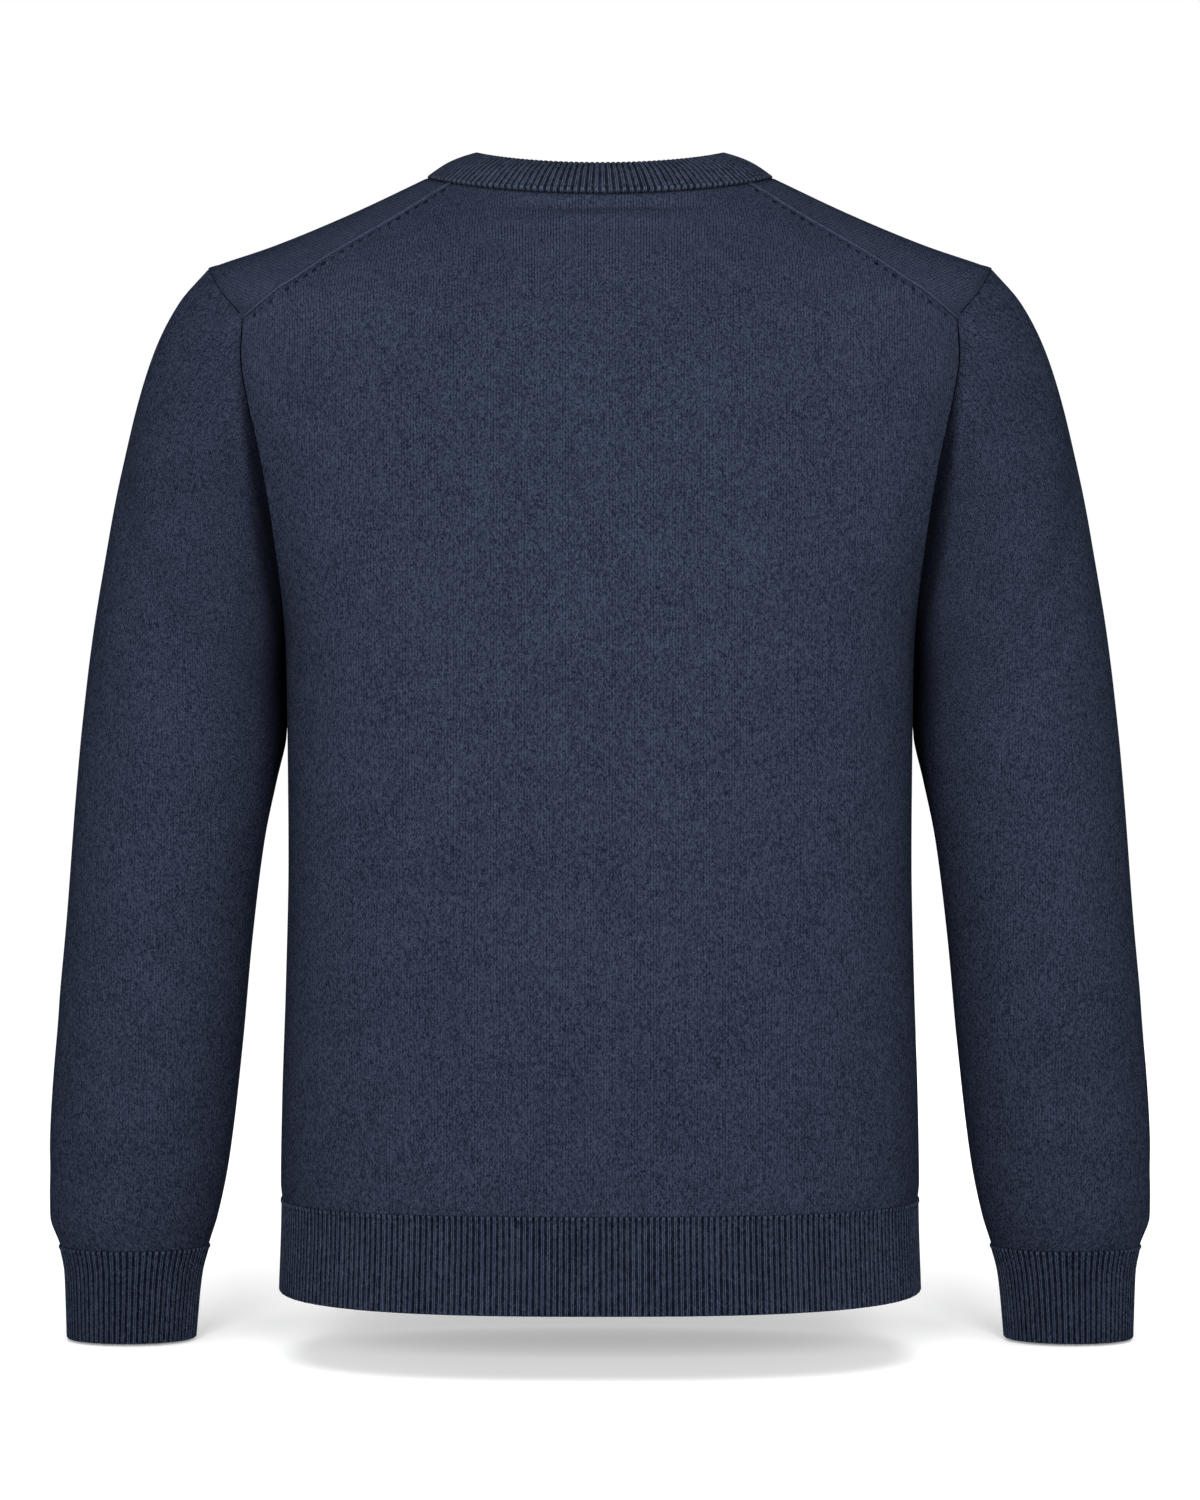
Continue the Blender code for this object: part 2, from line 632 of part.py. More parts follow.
def button_ways():
    """Places of the buttons, evenly spaced from the neckband down to the hem."""
    ways = np.linspace(LOW_BUTTON_RUN, NECK_RUN + BAND_RISE * TOP_BUTTON_RISE, 1200)
    points = front_line(np.zeros(ways.shape), ways)[0]
    length = np.concatenate([[0], np.cumsum(np.linalg.norm(np.diff(points, axis=0), axis=1))])
    return np.interp(np.linspace(length[-1], 0, BUTTONS), length, ways)


def button_turning():
    """Radius and height of a button's outline, from the middle of its face round the rim to its back."""
    dish = BUTTON_THICK * 0.62
    return (
        (BUTTON_RADIUS - 2 * BUTTON_RIM, dish),
        (BUTTON_RADIUS - BUTTON_RIM, BUTTON_THICK),
        (BUTTON_RADIUS - BUTTON_RIM * 0.4, BUTTON_THICK * 0.93),
        (BUTTON_RADIUS, BUTTON_THICK * 0.55),
        (BUTTON_RADIUS * 0.8, 0.0),
    )


def button_body(name, sides=18):
    """A turned button with a raised rim, lying on the XY plane with its face up."""
    vertices, faces = [], []
    for radius, height in button_turning():
        for k in range(sides):
            turn = 2 * math.pi * k / sides
            vertices.append((radius * math.cos(turn), radius * math.sin(turn), height))
    rings = np.arange(len(vertices)).reshape(-1, sides)
    faces += sheet_faces(rings, True)
    faces.append(tuple(rings[0]))
    faces.append(tuple(rings[-1][::-1]))
    return put(name, vertices, faces, material(name, HORN, 0.35))


def drill_holes(button):
    """The button's four sewing holes."""
    for k in range(4):
        turn = math.pi / 4 + k * math.pi / 2
        bpy.ops.mesh.primitive_cylinder_add(
            vertices=6,
            radius=BUTTON_HOLE_RADIUS,
            depth=4 * BUTTON_THICK,
            location=(BUTTON_HOLE_SPREAD * math.cos(turn), BUTTON_HOLE_SPREAD * math.sin(turn), 0),
        )
        cutter = bpy.context.object
        cutter.name = f"{button.name}_hole_{k}"
        cutter.hide_render = True
        cutter.display_type = "WIRE"
        cutter.parent = button
        cut = button.modifiers.new(f"hole_{k}", "BOOLEAN")
        cut.object = cutter


def buttons():
    """The buttons, each lying flat on the outer band with its face forward."""
    level = BAND_LIFT + BAND_WALL + RIB_RELIEF + BAND_LIFT
    for k, way in enumerate(button_ways()):
        points, normals = front_line(np.zeros(2), way + np.array([-BUTTON_RADIUS, BUTTON_RADIUS]))
        low, high = points + normals * level
        made = button_body(f"button_{k + 1}")
        drill_holes(made)
        made.location = (low + high) / 2
        made.rotation_euler = (math.atan2(high[2] - low[2], high[1] - low[1]), 0, 0)


def clear_scene():
    """Removes what the scene holds at the start."""
    for old in list(bpy.data.objects):
        bpy.data.objects.remove(old)


def main():
    """Builds the cardigan."""
    clear_scene()
    back_panel()
    ribbed_hem("back_hem", 0.0, False, True)
    for side, mirrored in (("left", False), ("right", True)):
        front_panel(f"{side}_front", mirrored)
        ribbed_hem(f"{side}_front_hem", FRONT_EDGE, mirrored, False)
        sleeve_wall(f"{side}_sleeve", mirrored)
        cuff(f"{side}_cuff", mirrored)
    neckband()
    button_band("buttonhole_band", BAND_LIFT + BAND_WALL, BAND_RIBS)
    button_band("button_band", -BAND_LIFT, 0)
    buttons()


main()
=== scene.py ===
"""Looks of a crew-neck cardigan in fine knit, buttoned up and filled out as if worn.

Every piece of cloth is a thin shell over its solid. It is worked out from the same tables as the solid: one
skin for the body, one for each sleeve and one for the neckband. A piece lies on its skin between its seams,
and gets its ribs, its rolled edges and its creases as heights over the skin.

The body's skin has two parameters. angle goes round the wearer: 0 at the left side seam, a quarter turn at
the centre back. run goes up along the side seam, over the shoulder and on to the neck seam.
"""

from __future__ import annotations

import logging
import math
from collections.abc import Callable
from dataclasses import dataclass, field
from enum import Enum
from functools import cached_property

import bpy
import numpy as np
from mathutils.kdtree import KDTree
from numpy.typing import NDArray
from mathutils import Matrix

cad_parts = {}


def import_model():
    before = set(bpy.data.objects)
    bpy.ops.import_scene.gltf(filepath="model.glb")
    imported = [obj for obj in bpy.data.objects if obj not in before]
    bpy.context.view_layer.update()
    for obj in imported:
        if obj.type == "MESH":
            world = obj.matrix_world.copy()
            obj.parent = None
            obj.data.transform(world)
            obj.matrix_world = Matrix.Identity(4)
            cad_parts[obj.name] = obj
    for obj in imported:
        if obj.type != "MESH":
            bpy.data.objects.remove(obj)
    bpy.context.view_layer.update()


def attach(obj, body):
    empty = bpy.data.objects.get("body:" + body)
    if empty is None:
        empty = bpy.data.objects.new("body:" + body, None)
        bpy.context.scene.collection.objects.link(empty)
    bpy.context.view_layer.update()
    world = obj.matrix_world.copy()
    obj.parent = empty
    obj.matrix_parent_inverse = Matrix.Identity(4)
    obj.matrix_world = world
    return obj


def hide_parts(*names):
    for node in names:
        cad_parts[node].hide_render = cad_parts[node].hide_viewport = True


Array = NDArray[np.float64]
Skin = Callable[[Array, Array], Array]
Socket = bpy.types.NodeSocket
LOG = logging.getLogger("cardigan")
TURN = 2 * math.pi


def table(names: str, *rows: tuple[float, ...]) -> dict[str, Array]:
    """Gives the columns of a short table, by name."""
    return dict(zip(names.split(), np.array(rows, float).T))


# Rings of the body. half: half the width. side, back, front: height at the side, the centre back and the
# centre front. rear, fore: reach behind and before the origin. square: 2 is an ellipse, more is squarer.
BODY = table(
    "run   half    side    back    front   rear   fore   square",
    (0.000, 0.1908, -0.6638, -0.6662, -0.6662, 0.1250, 0.1220, 2.70),
    (0.052, 0.1894, -0.6125, -0.6125, -0.6125, 0.1230, 0.1203, 2.70),
    (0.064, 0.1905, -0.6005, -0.6005, -0.6005, 0.1240, 0.1212, 2.70),
    (0.111, 0.1898, -0.5535, -0.5535, -0.5535, 0.1225, 0.1195, 2.70),
    (0.183, 0.1876, -0.4815, -0.4815, -0.4815, 0.1185, 0.1170, 2.65),
    (0.255, 0.1862, -0.4095, -0.4095, -0.4095, 0.1150, 0.1155, 2.60),
    (0.327, 0.1868, -0.3375, -0.3385, -0.3395, 0.1145, 0.1175, 2.55),
    (0.384, 0.1880, -0.2805, -0.2835, -0.2865, 0.1165, 0.1220, 2.50),
    (0.459, 0.2065, -0.2055, -0.2135, -0.2225, 0.1175, 0.1255, 2.40),
    (0.534, 0.2230, -0.1320, -0.1490, -0.1700, 0.1130, 0.1245, 2.25),
    (0.588, 0.2330, -0.0792, -0.1060, -0.1390, 0.1070, 0.1200, 2.10),
    (0.615, 0.2350, -0.0545, -0.0865, -0.1250, 0.1030, 0.1165, 2.00),
    (0.623, 0.2275, -0.0516, -0.0820, -0.1224, 0.1016, 0.1150, 2.00),
    (0.656, 0.1960, -0.0410, -0.0615, -0.1115, 0.0955, 0.1090, 2.00),
    (0.706, 0.1500, -0.0220, -0.0393, -0.0973, 0.0860, 0.0985, 2.00),
    (0.757, 0.1035, 0.0000, -0.0185, -0.0844, 0.0750, 0.0880, 2.00),
)

# Armhole: how far out its seam lies behind and in front, at places up the body.
ARMHOLE = table(
    "run   behind  before",
    (0.384, 0.1880, 0.1880),
    (0.400, 0.1882, 0.1862),
    (0.417, 0.1890, 0.1838),
    (0.447, 0.1921, 0.1803),
    (0.471, 0.1954, 0.1790),
    (0.505, 0.2016, 0.1805),
    (0.534, 0.2079, 0.1860),
    (0.561, 0.2117, 0.1955),
    (0.586, 0.2106, 0.2110),
    (0.602, 0.2254, 0.2245),
    (0.615, 0.2350, 0.2350),
)

# Left shoulder seam: how far out it lies, from the armhole to the neckband, behind the shoulder.
SHOULDER = table(
    "run   out",
    (0.586, 0.2106),
    (0.609, 0.1895),
    (0.640, 0.1670),
    (0.698, 0.1270),
    (0.757, 0.0877),
)

# Sections of the left sleeve, from the armhole to the cuff's edge. down: way along the outer side.
# out_x, out_z: the outer side. in_x, in_z: the underarm side. back, front: reach in y.
SLEEVE = table(
    "down   out_x   out_z    in_x    in_z    back    front",
    (0.000, 0.2350, -0.0545, 0.1880, -0.2805, 0.0500, -0.0740),
    (0.026, 0.2522, -0.0750, 0.1884, -0.2835, 0.0560, -0.0750),
    (0.058, 0.2668, -0.1035, 0.1888, -0.2890, 0.0605, -0.0765),
    (0.098, 0.2791, -0.1412, 0.1890, -0.2965, 0.0620, -0.0785),
    (0.137, 0.2885, -0.1790, 0.1887, -0.3050, 0.0612, -0.0805),
    (0.186, 0.2976, -0.2275, 0.1884, -0.3185, 0.0580, -0.0825),
    (0.233, 0.3056, -0.2745, 0.1894, -0.3350, 0.0535, -0.0840),
    (0.283, 0.3120, -0.3240, 0.1956, -0.3620, 0.0480, -0.0848),
    (0.332, 0.3168, -0.3720, 0.2030, -0.3970, 0.0420, -0.0852),
    (0.404, 0.3228, -0.4433, 0.2108, -0.4570, 0.0330, -0.0860),
    (0.478, 0.3302, -0.5167, 0.2174, -0.5230, 0.0210, -0.0880),
    (0.551, 0.3354, -0.5899, 0.2262, -0.5920, 0.0070, -0.0915),
    (0.588, 0.3358, -0.6268, 0.2336, -0.6270, -0.0015, -0.0925),
    (0.607, 0.3304, -0.6455, 0.2396, -0.6455, -0.0110, -0.0925),
    (0.626, 0.3276, -0.6640, 0.2448, -0.6640, -0.0210, -0.0925),
    (0.6665, 0.3270, -0.7040, 0.2492, -0.7040, -0.0305, -0.0950),
)

# Upper edge of the neckband, as a ring of the body's kind.
NECK_TOP = dict(half=0.0738, side=0.0152, back=0.0018, front=-0.0554, rear=0.0530, fore=0.0790, square=2.0)


class Side(Enum):
    """The wearer's left or right. The value is the sign of x there."""

    LEFT = 1
    RIGHT = -1


class Stitch(Enum):
    """How a piece is knitted."""

    PLAIN = "plain"
    RIB = "rib"


def smooth(places: Array, values: Array, at: Array) -> Array:
    """Works out values on a smooth curve through a table's rows.

    A cubic joins each pair of rows. Its slope at a row is the harmonic mean of the slopes on both sides, or
    0 where the values turn back, so it never overshoots them.
    """
    step = np.diff(places)
    slope = np.diff(values) / step
    same_way = slope[1:] * slope[:-1] > 0
    total = np.where(same_way, slope[1:] + slope[:-1], 1.0)
    middle = np.where(same_way, 2 * slope[1:] * slope[:-1] / total, 0.0)
    tangent = np.concatenate([slope[:1], middle, slope[-1:]])
    i = np.clip(np.searchsorted(places, at) - 1, 0, len(step) - 1)
    u = (at - places[i]) / step[i]
    rise = u * u * (3 - 2 * u)
    bow = step[i] * u * (1 - u) * ((1 - u) * tangent[i] - u * tangent[i + 1])
    return values[i] * (1 - rise) + values[i + 1] * rise + bow


def ease(low: float, high: float, value: Array) -> Array:
    """Gives 0 below low, 1 above high and an S-curve between."""
    u = np.clip((value - low) / (high - low), 0, 1)
    return u * u * (3 - 2 * u)


def unit(vectors: Array) -> Array:
    """Gives the vectors at length 1."""
    return vectors / np.linalg.norm(vectors, axis=-1, keepdims=True)


def normals_of(place: Skin, across: Array, along: Array, reach: float, end: float) -> Array:
    """Works out normals of a skin: the cross product of its slopes across and along.

    Args:
        place: The skin.
        across: Its first parameter.
        along: Its second parameter, from 0 to end.
        reach: How far to each side the slope along it is measured.
        end: The greatest second parameter.
    """
    tiny = 1e-4
    one = place(across + tiny, along) - place(across - tiny, along)
    other = place(across, np.minimum(along + reach, end)) - place(across, np.maximum(along - reach, 0))
    return unit(np.cross(one, other))


def way_along(points: Array) -> Array:
    """Gives each point's distance from the first one, measured along the line through them."""
    steps = np.linalg.norm(np.diff(points, axis=-2), axis=-1)
    return np.concatenate([np.zeros(steps.shape[:-1] + (1,)), np.cumsum(steps, axis=-1)], axis=-1)


def nearest_on(line: Array, points: Array) -> tuple[Array, Array]:
    """Finds each point's nearest place among a line's points: its distance and its number."""
    tree = KDTree(len(line))
    for k, place in enumerate(line):
        tree.insert(place, k)
    tree.balance()
    found = [tree.find(point)[1:] for point in points.reshape(-1, 3)]
    numbers, distances = np.array(found).T.reshape(2, *points.shape[:-1])
    return distances, numbers.astype(int)


def finer(line: Array, step: float = 0.001) -> Array:
    """Adds places to a line until they are no more than a step apart."""
    way = way_along(line)
    at = np.union1d(way, np.arange(0, way[-1], step))
    return np.stack([np.interp(at, way, line[:, k]) for k in range(line.shape[1])], 1)


def shares(count: int, edge: float) -> Array:
    """Spreads places over 0 to 1, with finer steps near both ends.

    Args:
        count: Number of even steps.
        edge: Width of the finer border, as a share.
    """
    even = np.linspace(0, 1, count + 1)
    fine = edge * np.array([0.15, 0.35, 0.65, 1.0])
    inner = even[(even > 1.3 * edge) & (even < 1 - 1.3 * edge)]
    return np.concatenate([[0.0], fine, inner, 1 - fine[::-1], [1.0]])


@dataclass
class Figure:
    """The skins that the cloth lies on.

    Args:
        underarm: Run of the lowest point of the armhole.
        tip: Run of the shoulder tip.
        corner: Run at which the shoulder seam meets the armhole.
        neck_seam: Run of the neck seam.
        side_round: How softly the neckline turns over the shoulder.
        swell: How far the neckband bulges between its edges.
        sleeve_end: Length of the sleeve with its cuff, along its outer side.
        cap_fade: How far down the sleeve the armhole's outline can still be felt.
        tip_to_corner: Share of the armhole's way round between the tip and the corner.
        fold_depth: Depth of the trough where a sleeve falls in beside the body.
        fold_down: How far down the sleeve that trough is deepest.
        fold_span: Ways round from the tip at which it starts, is full, shrinks and ends.
    """

    underarm: float = 0.384
    tip: float = 0.615
    corner: float = 0.586
    neck_seam: float = 0.757
    side_round: float = 1.35
    swell: float = 0.0024
    sleeve_end: float = 0.6665
    cap_fade: float = 0.17
    tip_to_corner: float = 0.08
    fold_depth: float = 0.0095
    fold_down: float = 0.020
    fold_span: tuple[float, float, float, float] = (0.10, 0.26, 0.34, 0.47)

    def oval(self, ring: dict[str, Array], angle: Array) -> Array:
        """Places points on a ring.

        In plan it is a squared oval: x and y are the signed powers 2 / square of cosine and sine. Its height
        drops from the side to the centre with the power side_round of the sine.
        """
        c, s = np.cos(angle), np.sin(angle)
        power = 2 / ring["square"]
        behind = s > 0
        x = ring["half"] * np.sign(c) * np.abs(c) ** power
        y = np.where(behind, ring["rear"], ring["fore"]) * np.sign(s) * np.abs(s) ** power
        drop = np.where(behind, ring["back"], ring["front"]) - ring["side"]
        z = ring["side"] + drop * np.abs(s) ** self.side_round
        return np.stack(np.broadcast_arrays(x, y, z), axis=-1)

    def body(self, angle: Array, run: Array) -> Array:
        """Places points on the body, on the ring that the table gives at each run."""
        run = np.asarray(run, float)
        ring = {name: smooth(BODY["run"], BODY[name], run) for name in BODY if name != "run"}
        return self.oval(ring, angle)

    def body_normals(self, angle: Array, run: Array) -> Array:
        """Gives the body's outward normals."""
        return normals_of(self.body, angle, run, 0.010, self.neck_seam)

    def angle_at(self, x: Array | float, run: Array, front: bool) -> Array:
        """Finds the angle at which the body's ring lies x to the left of the middle."""
        half = smooth(BODY["run"], BODY["half"], run)
        square = smooth(BODY["run"], BODY["square"], run)
        turned = np.arccos(np.sign(x) * np.clip(np.abs(x) / half, 0, 1) ** (square / 2))
        return -turned if front else turned

    def evenly(self, line: Array, at: Array, inset: float = 0.0) -> Array:
        """Finds places on a line (angle, run), at shares of its length on the body.

        Args:
            line: Dense places along the line.
            at: Shares of the way, from 0 to 1.
            inset: What is left free at both ends, in metres.
        """
        way = way_along(self.body(line[:, 0], line[:, 1]))
        there = inset + np.asarray(at) * (way[-1] - 2 * inset)
        return np.stack([np.interp(there, way, line[:, k]) for k in (0, 1)], axis=1)

    def armhole_side(self, low: float, high: float, column: str, front: bool) -> Array:
        """Gives dense places (angle, run) on the armhole between two runs."""
        run = low + (high - low) * (1 - np.cos(np.linspace(0, math.pi, 600))) / 2
        out = smooth(ARMHOLE["run"], ARMHOLE[column], run)
        return np.stack([self.angle_at(out, run, front), run], axis=1)

    @cached_property
    def behind(self) -> Array:
        """The armhole from under the arm to the corner."""
        return self.armhole_side(self.underarm, self.corner, "behind", False)

    @cached_property
    def over(self) -> Array:
        """The armhole from the corner to the shoulder tip."""
        return self.armhole_side(self.corner, self.tip, "behind", False)

    @cached_property
    def before(self) -> Array:
        """The armhole from under the arm to the tip, in front."""
        return self.armhole_side(self.underarm, self.tip, "before", True)

    @cached_property
    def loop(self) -> tuple[Array, Array]:
        """The whole armhole from the tip round behind to the tip: ways round, and places there."""
        pieces = (
            (self.over[::-1], 0.0, self.tip_to_corner),
            (self.behind[::-1], self.tip_to_corner, 0.5),
            (self.before, 0.5, 1.0),
        )
        at = np.linspace(0, 1, 241)
        turns = np.concatenate([low + (high - low) * at[:-1] for _, low, high in pieces] + [[1.0]])
        places = [self.evenly(line, at)[:-1] for line, _, _ in pieces]
        return turns, np.concatenate(places + [self.before[-1:]])

    def armhole(self, turn: Array) -> Array:
        """Places points on the armhole's seam."""
        turns, places = self.loop
        return self.body(np.interp(turn, turns, places[:, 0]), np.interp(turn, turns, places[:, 1]))

    def shoulder_seam(self, inset: float = 0.0) -> Array:
        """Gives dense places (angle, run) on the left shoulder seam, from the armhole to the neck."""
        run = np.linspace(self.corner, self.neck_seam - inset, 400)
        out = smooth(SHOULDER["run"], SHOULDER["out"], run)
        return np.stack([self.angle_at(out, run, False), run], axis=1)

    def section(self, around: Array, down: Array) -> Array:
        """Places points on a sleeve's oval section, around it by an angle."""
        row = {name: smooth(SLEEVE["down"], SLEEVE[name], down) for name in SLEEVE if name != "down"}
        c, s = np.cos(around), np.sin(around)
        x = (row["out_x"] + row["in_x"]) / 2 + (row["out_x"] - row["in_x"]) / 2 * c
        y = (row["back"] + row["front"]) / 2 + (row["back"] - row["front"]) / 2 * s
        z = (row["out_z"] + row["in_z"]) / 2 + (row["out_z"] - row["in_z"]) / 2 * c
        return np.stack(np.broadcast_arrays(x, y, z), axis=-1)

    def ends_of_section(self, down: Array) -> tuple[Array, Array]:
        """Gives the outer and the underarm end of a section."""
        return self.section(np.float64(0.0), down), self.section(np.float64(math.pi), down)

    def fold(self, turn: Array, down: Array) -> Array:
        """Gives the depth of the trough beside the body: x^2 exp(2 - 2x) down the sleeve, 1 where x is 1."""
        start, full, shrinking, end = self.fold_span
        from_tip = 0.5 - np.abs(turn - 0.5)
        share = down / self.fold_down
        round_it = ease(start, full, from_tip) * (1 - ease(shrinking, end, from_tip))
        return self.fold_depth * round_it * share**2 * np.exp(2 - 2 * share)

    def sleeve(self, turn: Array, down: Array) -> Array:
        """Places points on the left sleeve.

        Each point is on an oval section, moved by what the armhole's seam departs from the first section at
        that way round. The move fades out over cap_fade. The fold takes it in towards the sleeve's middle.
        """
        wrapped = np.mod(turn, 1.0)
        seam = self.armhole(wrapped)
        start = np.float64(0.0)
        top, bottom = self.ends_of_section(start)
        axis = (top - bottom) / 2
        lean = np.arccos(np.clip((seam - (top + bottom) / 2) @ axis / (axis @ axis), -1, 1))
        lean = np.where(wrapped <= 0.5, lean, TURN - lean)
        fade = ease(0, self.cap_fade, down)
        around = lean + (TURN * wrapped - lean) * fade
        point = self.section(around, down) + (seam - self.section(lean, start)) * (1 - fade[..., None])
        outer, inner = self.ends_of_section(down)
        middle = (outer + inner) / 2
        return point + unit(middle - point) * self.fold(wrapped, down)[..., None]

    def sleeve_normals(self, turn: Array, down: Array) -> Array:
        """Gives the sleeve's outward normals."""
        return -normals_of(self.sleeve, turn, down, 0.002, self.sleeve_end)

    def neck(self, angle: Array, rise: Array) -> Array:
        """Places points on the neckband, between the neck seam and the upper edge, with a swell between."""
        low = self.body(angle, np.full(np.shape(angle), self.neck_seam))
        top = self.oval(NECK_TOP, angle)
        out = unit(np.stack([np.cos(angle), np.sin(angle), np.ones(np.shape(angle))], axis=-1))
        rise = np.asarray(rise)[..., None]
        return low * (1 - rise) + top * rise + out * self.swell * np.sin(math.pi * rise)

    def neck_normals(self, angle: Array, rise: Array) -> Array:
        """Gives the neckband's outward normals."""
        return normals_of(self.neck, angle, rise, 0.05, 1.0)

    def neck_angle_at(self, x: Array | float, rise: Array) -> Array:
        """Finds the angle at which the neckband's front lies x to the left of the middle."""
        half = BODY["half"][-1] * (1 - rise) + NECK_TOP["half"] * rise
        return -np.arccos(x / half)

    @cached_property
    def band_rise(self) -> float:
        """Width of the neckband at the centre front."""
        ends = self.neck(np.full(2, -math.pi / 2), np.array([0.0, 1.0]))
        return float(np.linalg.norm(ends[1] - ends[0]))

    def front_line(self, x: Array, way: Array, bend: float = 0.012) -> tuple[Array, Array]:
        """Gives points and normals down the front, at x to the left of the middle.

        Args:
            x: Distance to the left.
            way: The body's run up to the neck seam, and the way up the neckband beyond it.
            bend: How far from the neck seam the normals start to turn.
        """
        run = np.minimum(way, self.neck_seam)
        rise = np.clip((way - self.neck_seam) / self.band_rise, 0, 1)
        low_angle, high_angle = self.angle_at(x, run, True), self.neck_angle_at(x, rise)
        near = ease(-bend, bend, way - self.neck_seam)[..., None]
        low, high = self.body_normals(low_angle, run), self.neck_normals(high_angle, rise)
        above = (way > self.neck_seam)[..., None]
        points = np.where(above, self.neck(high_angle, rise), self.body(low_angle, run))
        return points, unit(low * (1 - near) + high * near)


FIGURE = Figure()


@dataclass(frozen=True)
class Crease:
    """One soft trough or ridge in a piece of cloth.

    Args:
        start: One end, as across and up the piece in metres.
        end: The other end.
        width: Distance from its middle line at which it has almost gone.
        height: Height over the skin, below 0 for a trough.
    """

    start: tuple[float, float]
    end: tuple[float, float]
    width: float
    height: float

    def lift(self, across: Array, up: Array) -> Array:
        """Works out the crease's height: a bell curve across its line that fades towards both ends."""
        (x0, y0), (x1, y1) = self.start, self.end
        dx, dy = x1 - x0, y1 - y0
        length = math.hypot(dx, dy)
        share = ((across - x0) * dx + (up - y0) * dy) / length**2
        off = ((across - x0) * dy - (up - y0) * dx) / length
        bend = 0.35 * self.width * np.sin(4.0 * share + 10 * x0)
        bell = np.exp(-(((off + bend) / self.width) ** 2) * 2.5)
        return self.height * bell * ease(-0.25, 0.35, share) * (1 - ease(0.65, 1.25, share))


@dataclass
class Graph:
    """A material's node tree, with short ways to add to it."""

    tree: bpy.types.NodeTree

    def add(self, kind: str, **inputs: object) -> bpy.types.Node:
        """Adds a node. Each input is a value or a socket, by the socket's name with _ for a space."""
        node = self.tree.nodes.new(kind)
        for name, value in inputs.items():
            self.put(node.inputs[name.replace("_", " ")], value)
        return node

    def put(self, socket: Socket, value: object) -> None:
        """Links a socket to another, or sets its value."""
        if isinstance(value, Socket):
            self.tree.links.new(value, socket)
        else:
            socket.default_value = value

    def math(self, operation: str, *values: object) -> Socket:
        """Adds a Math node and gives its result."""
        node = self.tree.nodes.new("ShaderNodeMath")
        node.operation = operation
        for socket, value in zip(node.inputs, values):
            self.put(socket, value)
        return node.outputs[0]

    def attribute(self, name: str) -> bpy.types.Node:
        """Adds nodes that read an attribute, and gives the one with its three values."""
        node = self.add("ShaderNodeAttribute")
        node.attribute_name = name
        return self.add("ShaderNodeSeparateXYZ", Vector=node.outputs["Vector"])

    def noise(self, vector: Socket, scale: float, detail: float) -> Socket:
        """Adds a Noise Texture and gives its value, from -0.5 to 0.5."""
        node = self.add("ShaderNodeTexNoise", Vector=vector, Scale=scale, Detail=detail)
        return self.math("SUBTRACT", node.outputs[0], 0.5)

    def from_middle(self, value: Socket) -> Socket:
        """Gives the distance from the middle of each whole step, from 0 to 0.5."""
        return self.math("ABSOLUTE", self.math("SUBTRACT", self.math("FRACT", value), 0.5))

    def half_wave(self, value: object) -> Socket:
        """Gives the sine of the value in half turns."""
        return self.math("SINE", self.math("MULTIPLY", value, math.pi))

    def bell(self, *offs: Socket) -> Socket:
        """Gives a bell curve: e to the power of minus the sum of the squares."""
        total = 0.0
        for off in offs:
            total = self.math("MULTIPLY_ADD", off, off, total)
        return self.math("EXPONENT", self.math("MULTIPLY", total, -1.0))

    def mix(self, share: object, one: object, other: object) -> Socket:
        """Mixes two colours, each a socket or a tuple of four."""
        node = self.tree.nodes.new("ShaderNodeMix")
        node.data_type = "RGBA"
        for number, value in ((0, share), (6, one), (7, other)):
            self.put(node.inputs[number], value)
        return node.outputs[2]


def blank_material(name: str) -> tuple[bpy.types.Material, Graph, bpy.types.Node]:
    """Makes a material and gives it, its graph and its shader."""
    made = bpy.data.materials.new(name)
    made.use_nodes = True
    graph = Graph(made.node_tree)
    return made, graph, made.node_tree.nodes["Principled BSDF"]


@dataclass(frozen=True)
class Spot:
    """A soft oval spot that repeats with each mark beside a seam.

    Args:
        along: Its place from the middle of the mark, in marks.
        off: Its distance from the seam, in millimetres.
        wide: Half its width, in marks.
        high: Half its height, in millimetres.
        shade: What it adds to the shade.
    """

    along: float
    off: float
    wide: float
    high: float
    shade: float


# A pulled stitch is a pit with a loop beside it: painted shadow in the pit, a painted highlight on the loop.
# A rib starts with a loop above a dip: a painted highlight on the loop, painted shadow in the dip.
PULLED_STITCH = (Spot(0.0, 3.1, 0.23, 1.25, -0.90), Spot(0.28, 4.2, 0.14, 0.8, 0.50))
RIB_START = (Spot(0.0, 1.0, 0.10, 0.8, 0.40), Spot(0.0, 3.0, 0.30, 0.9, -0.12))


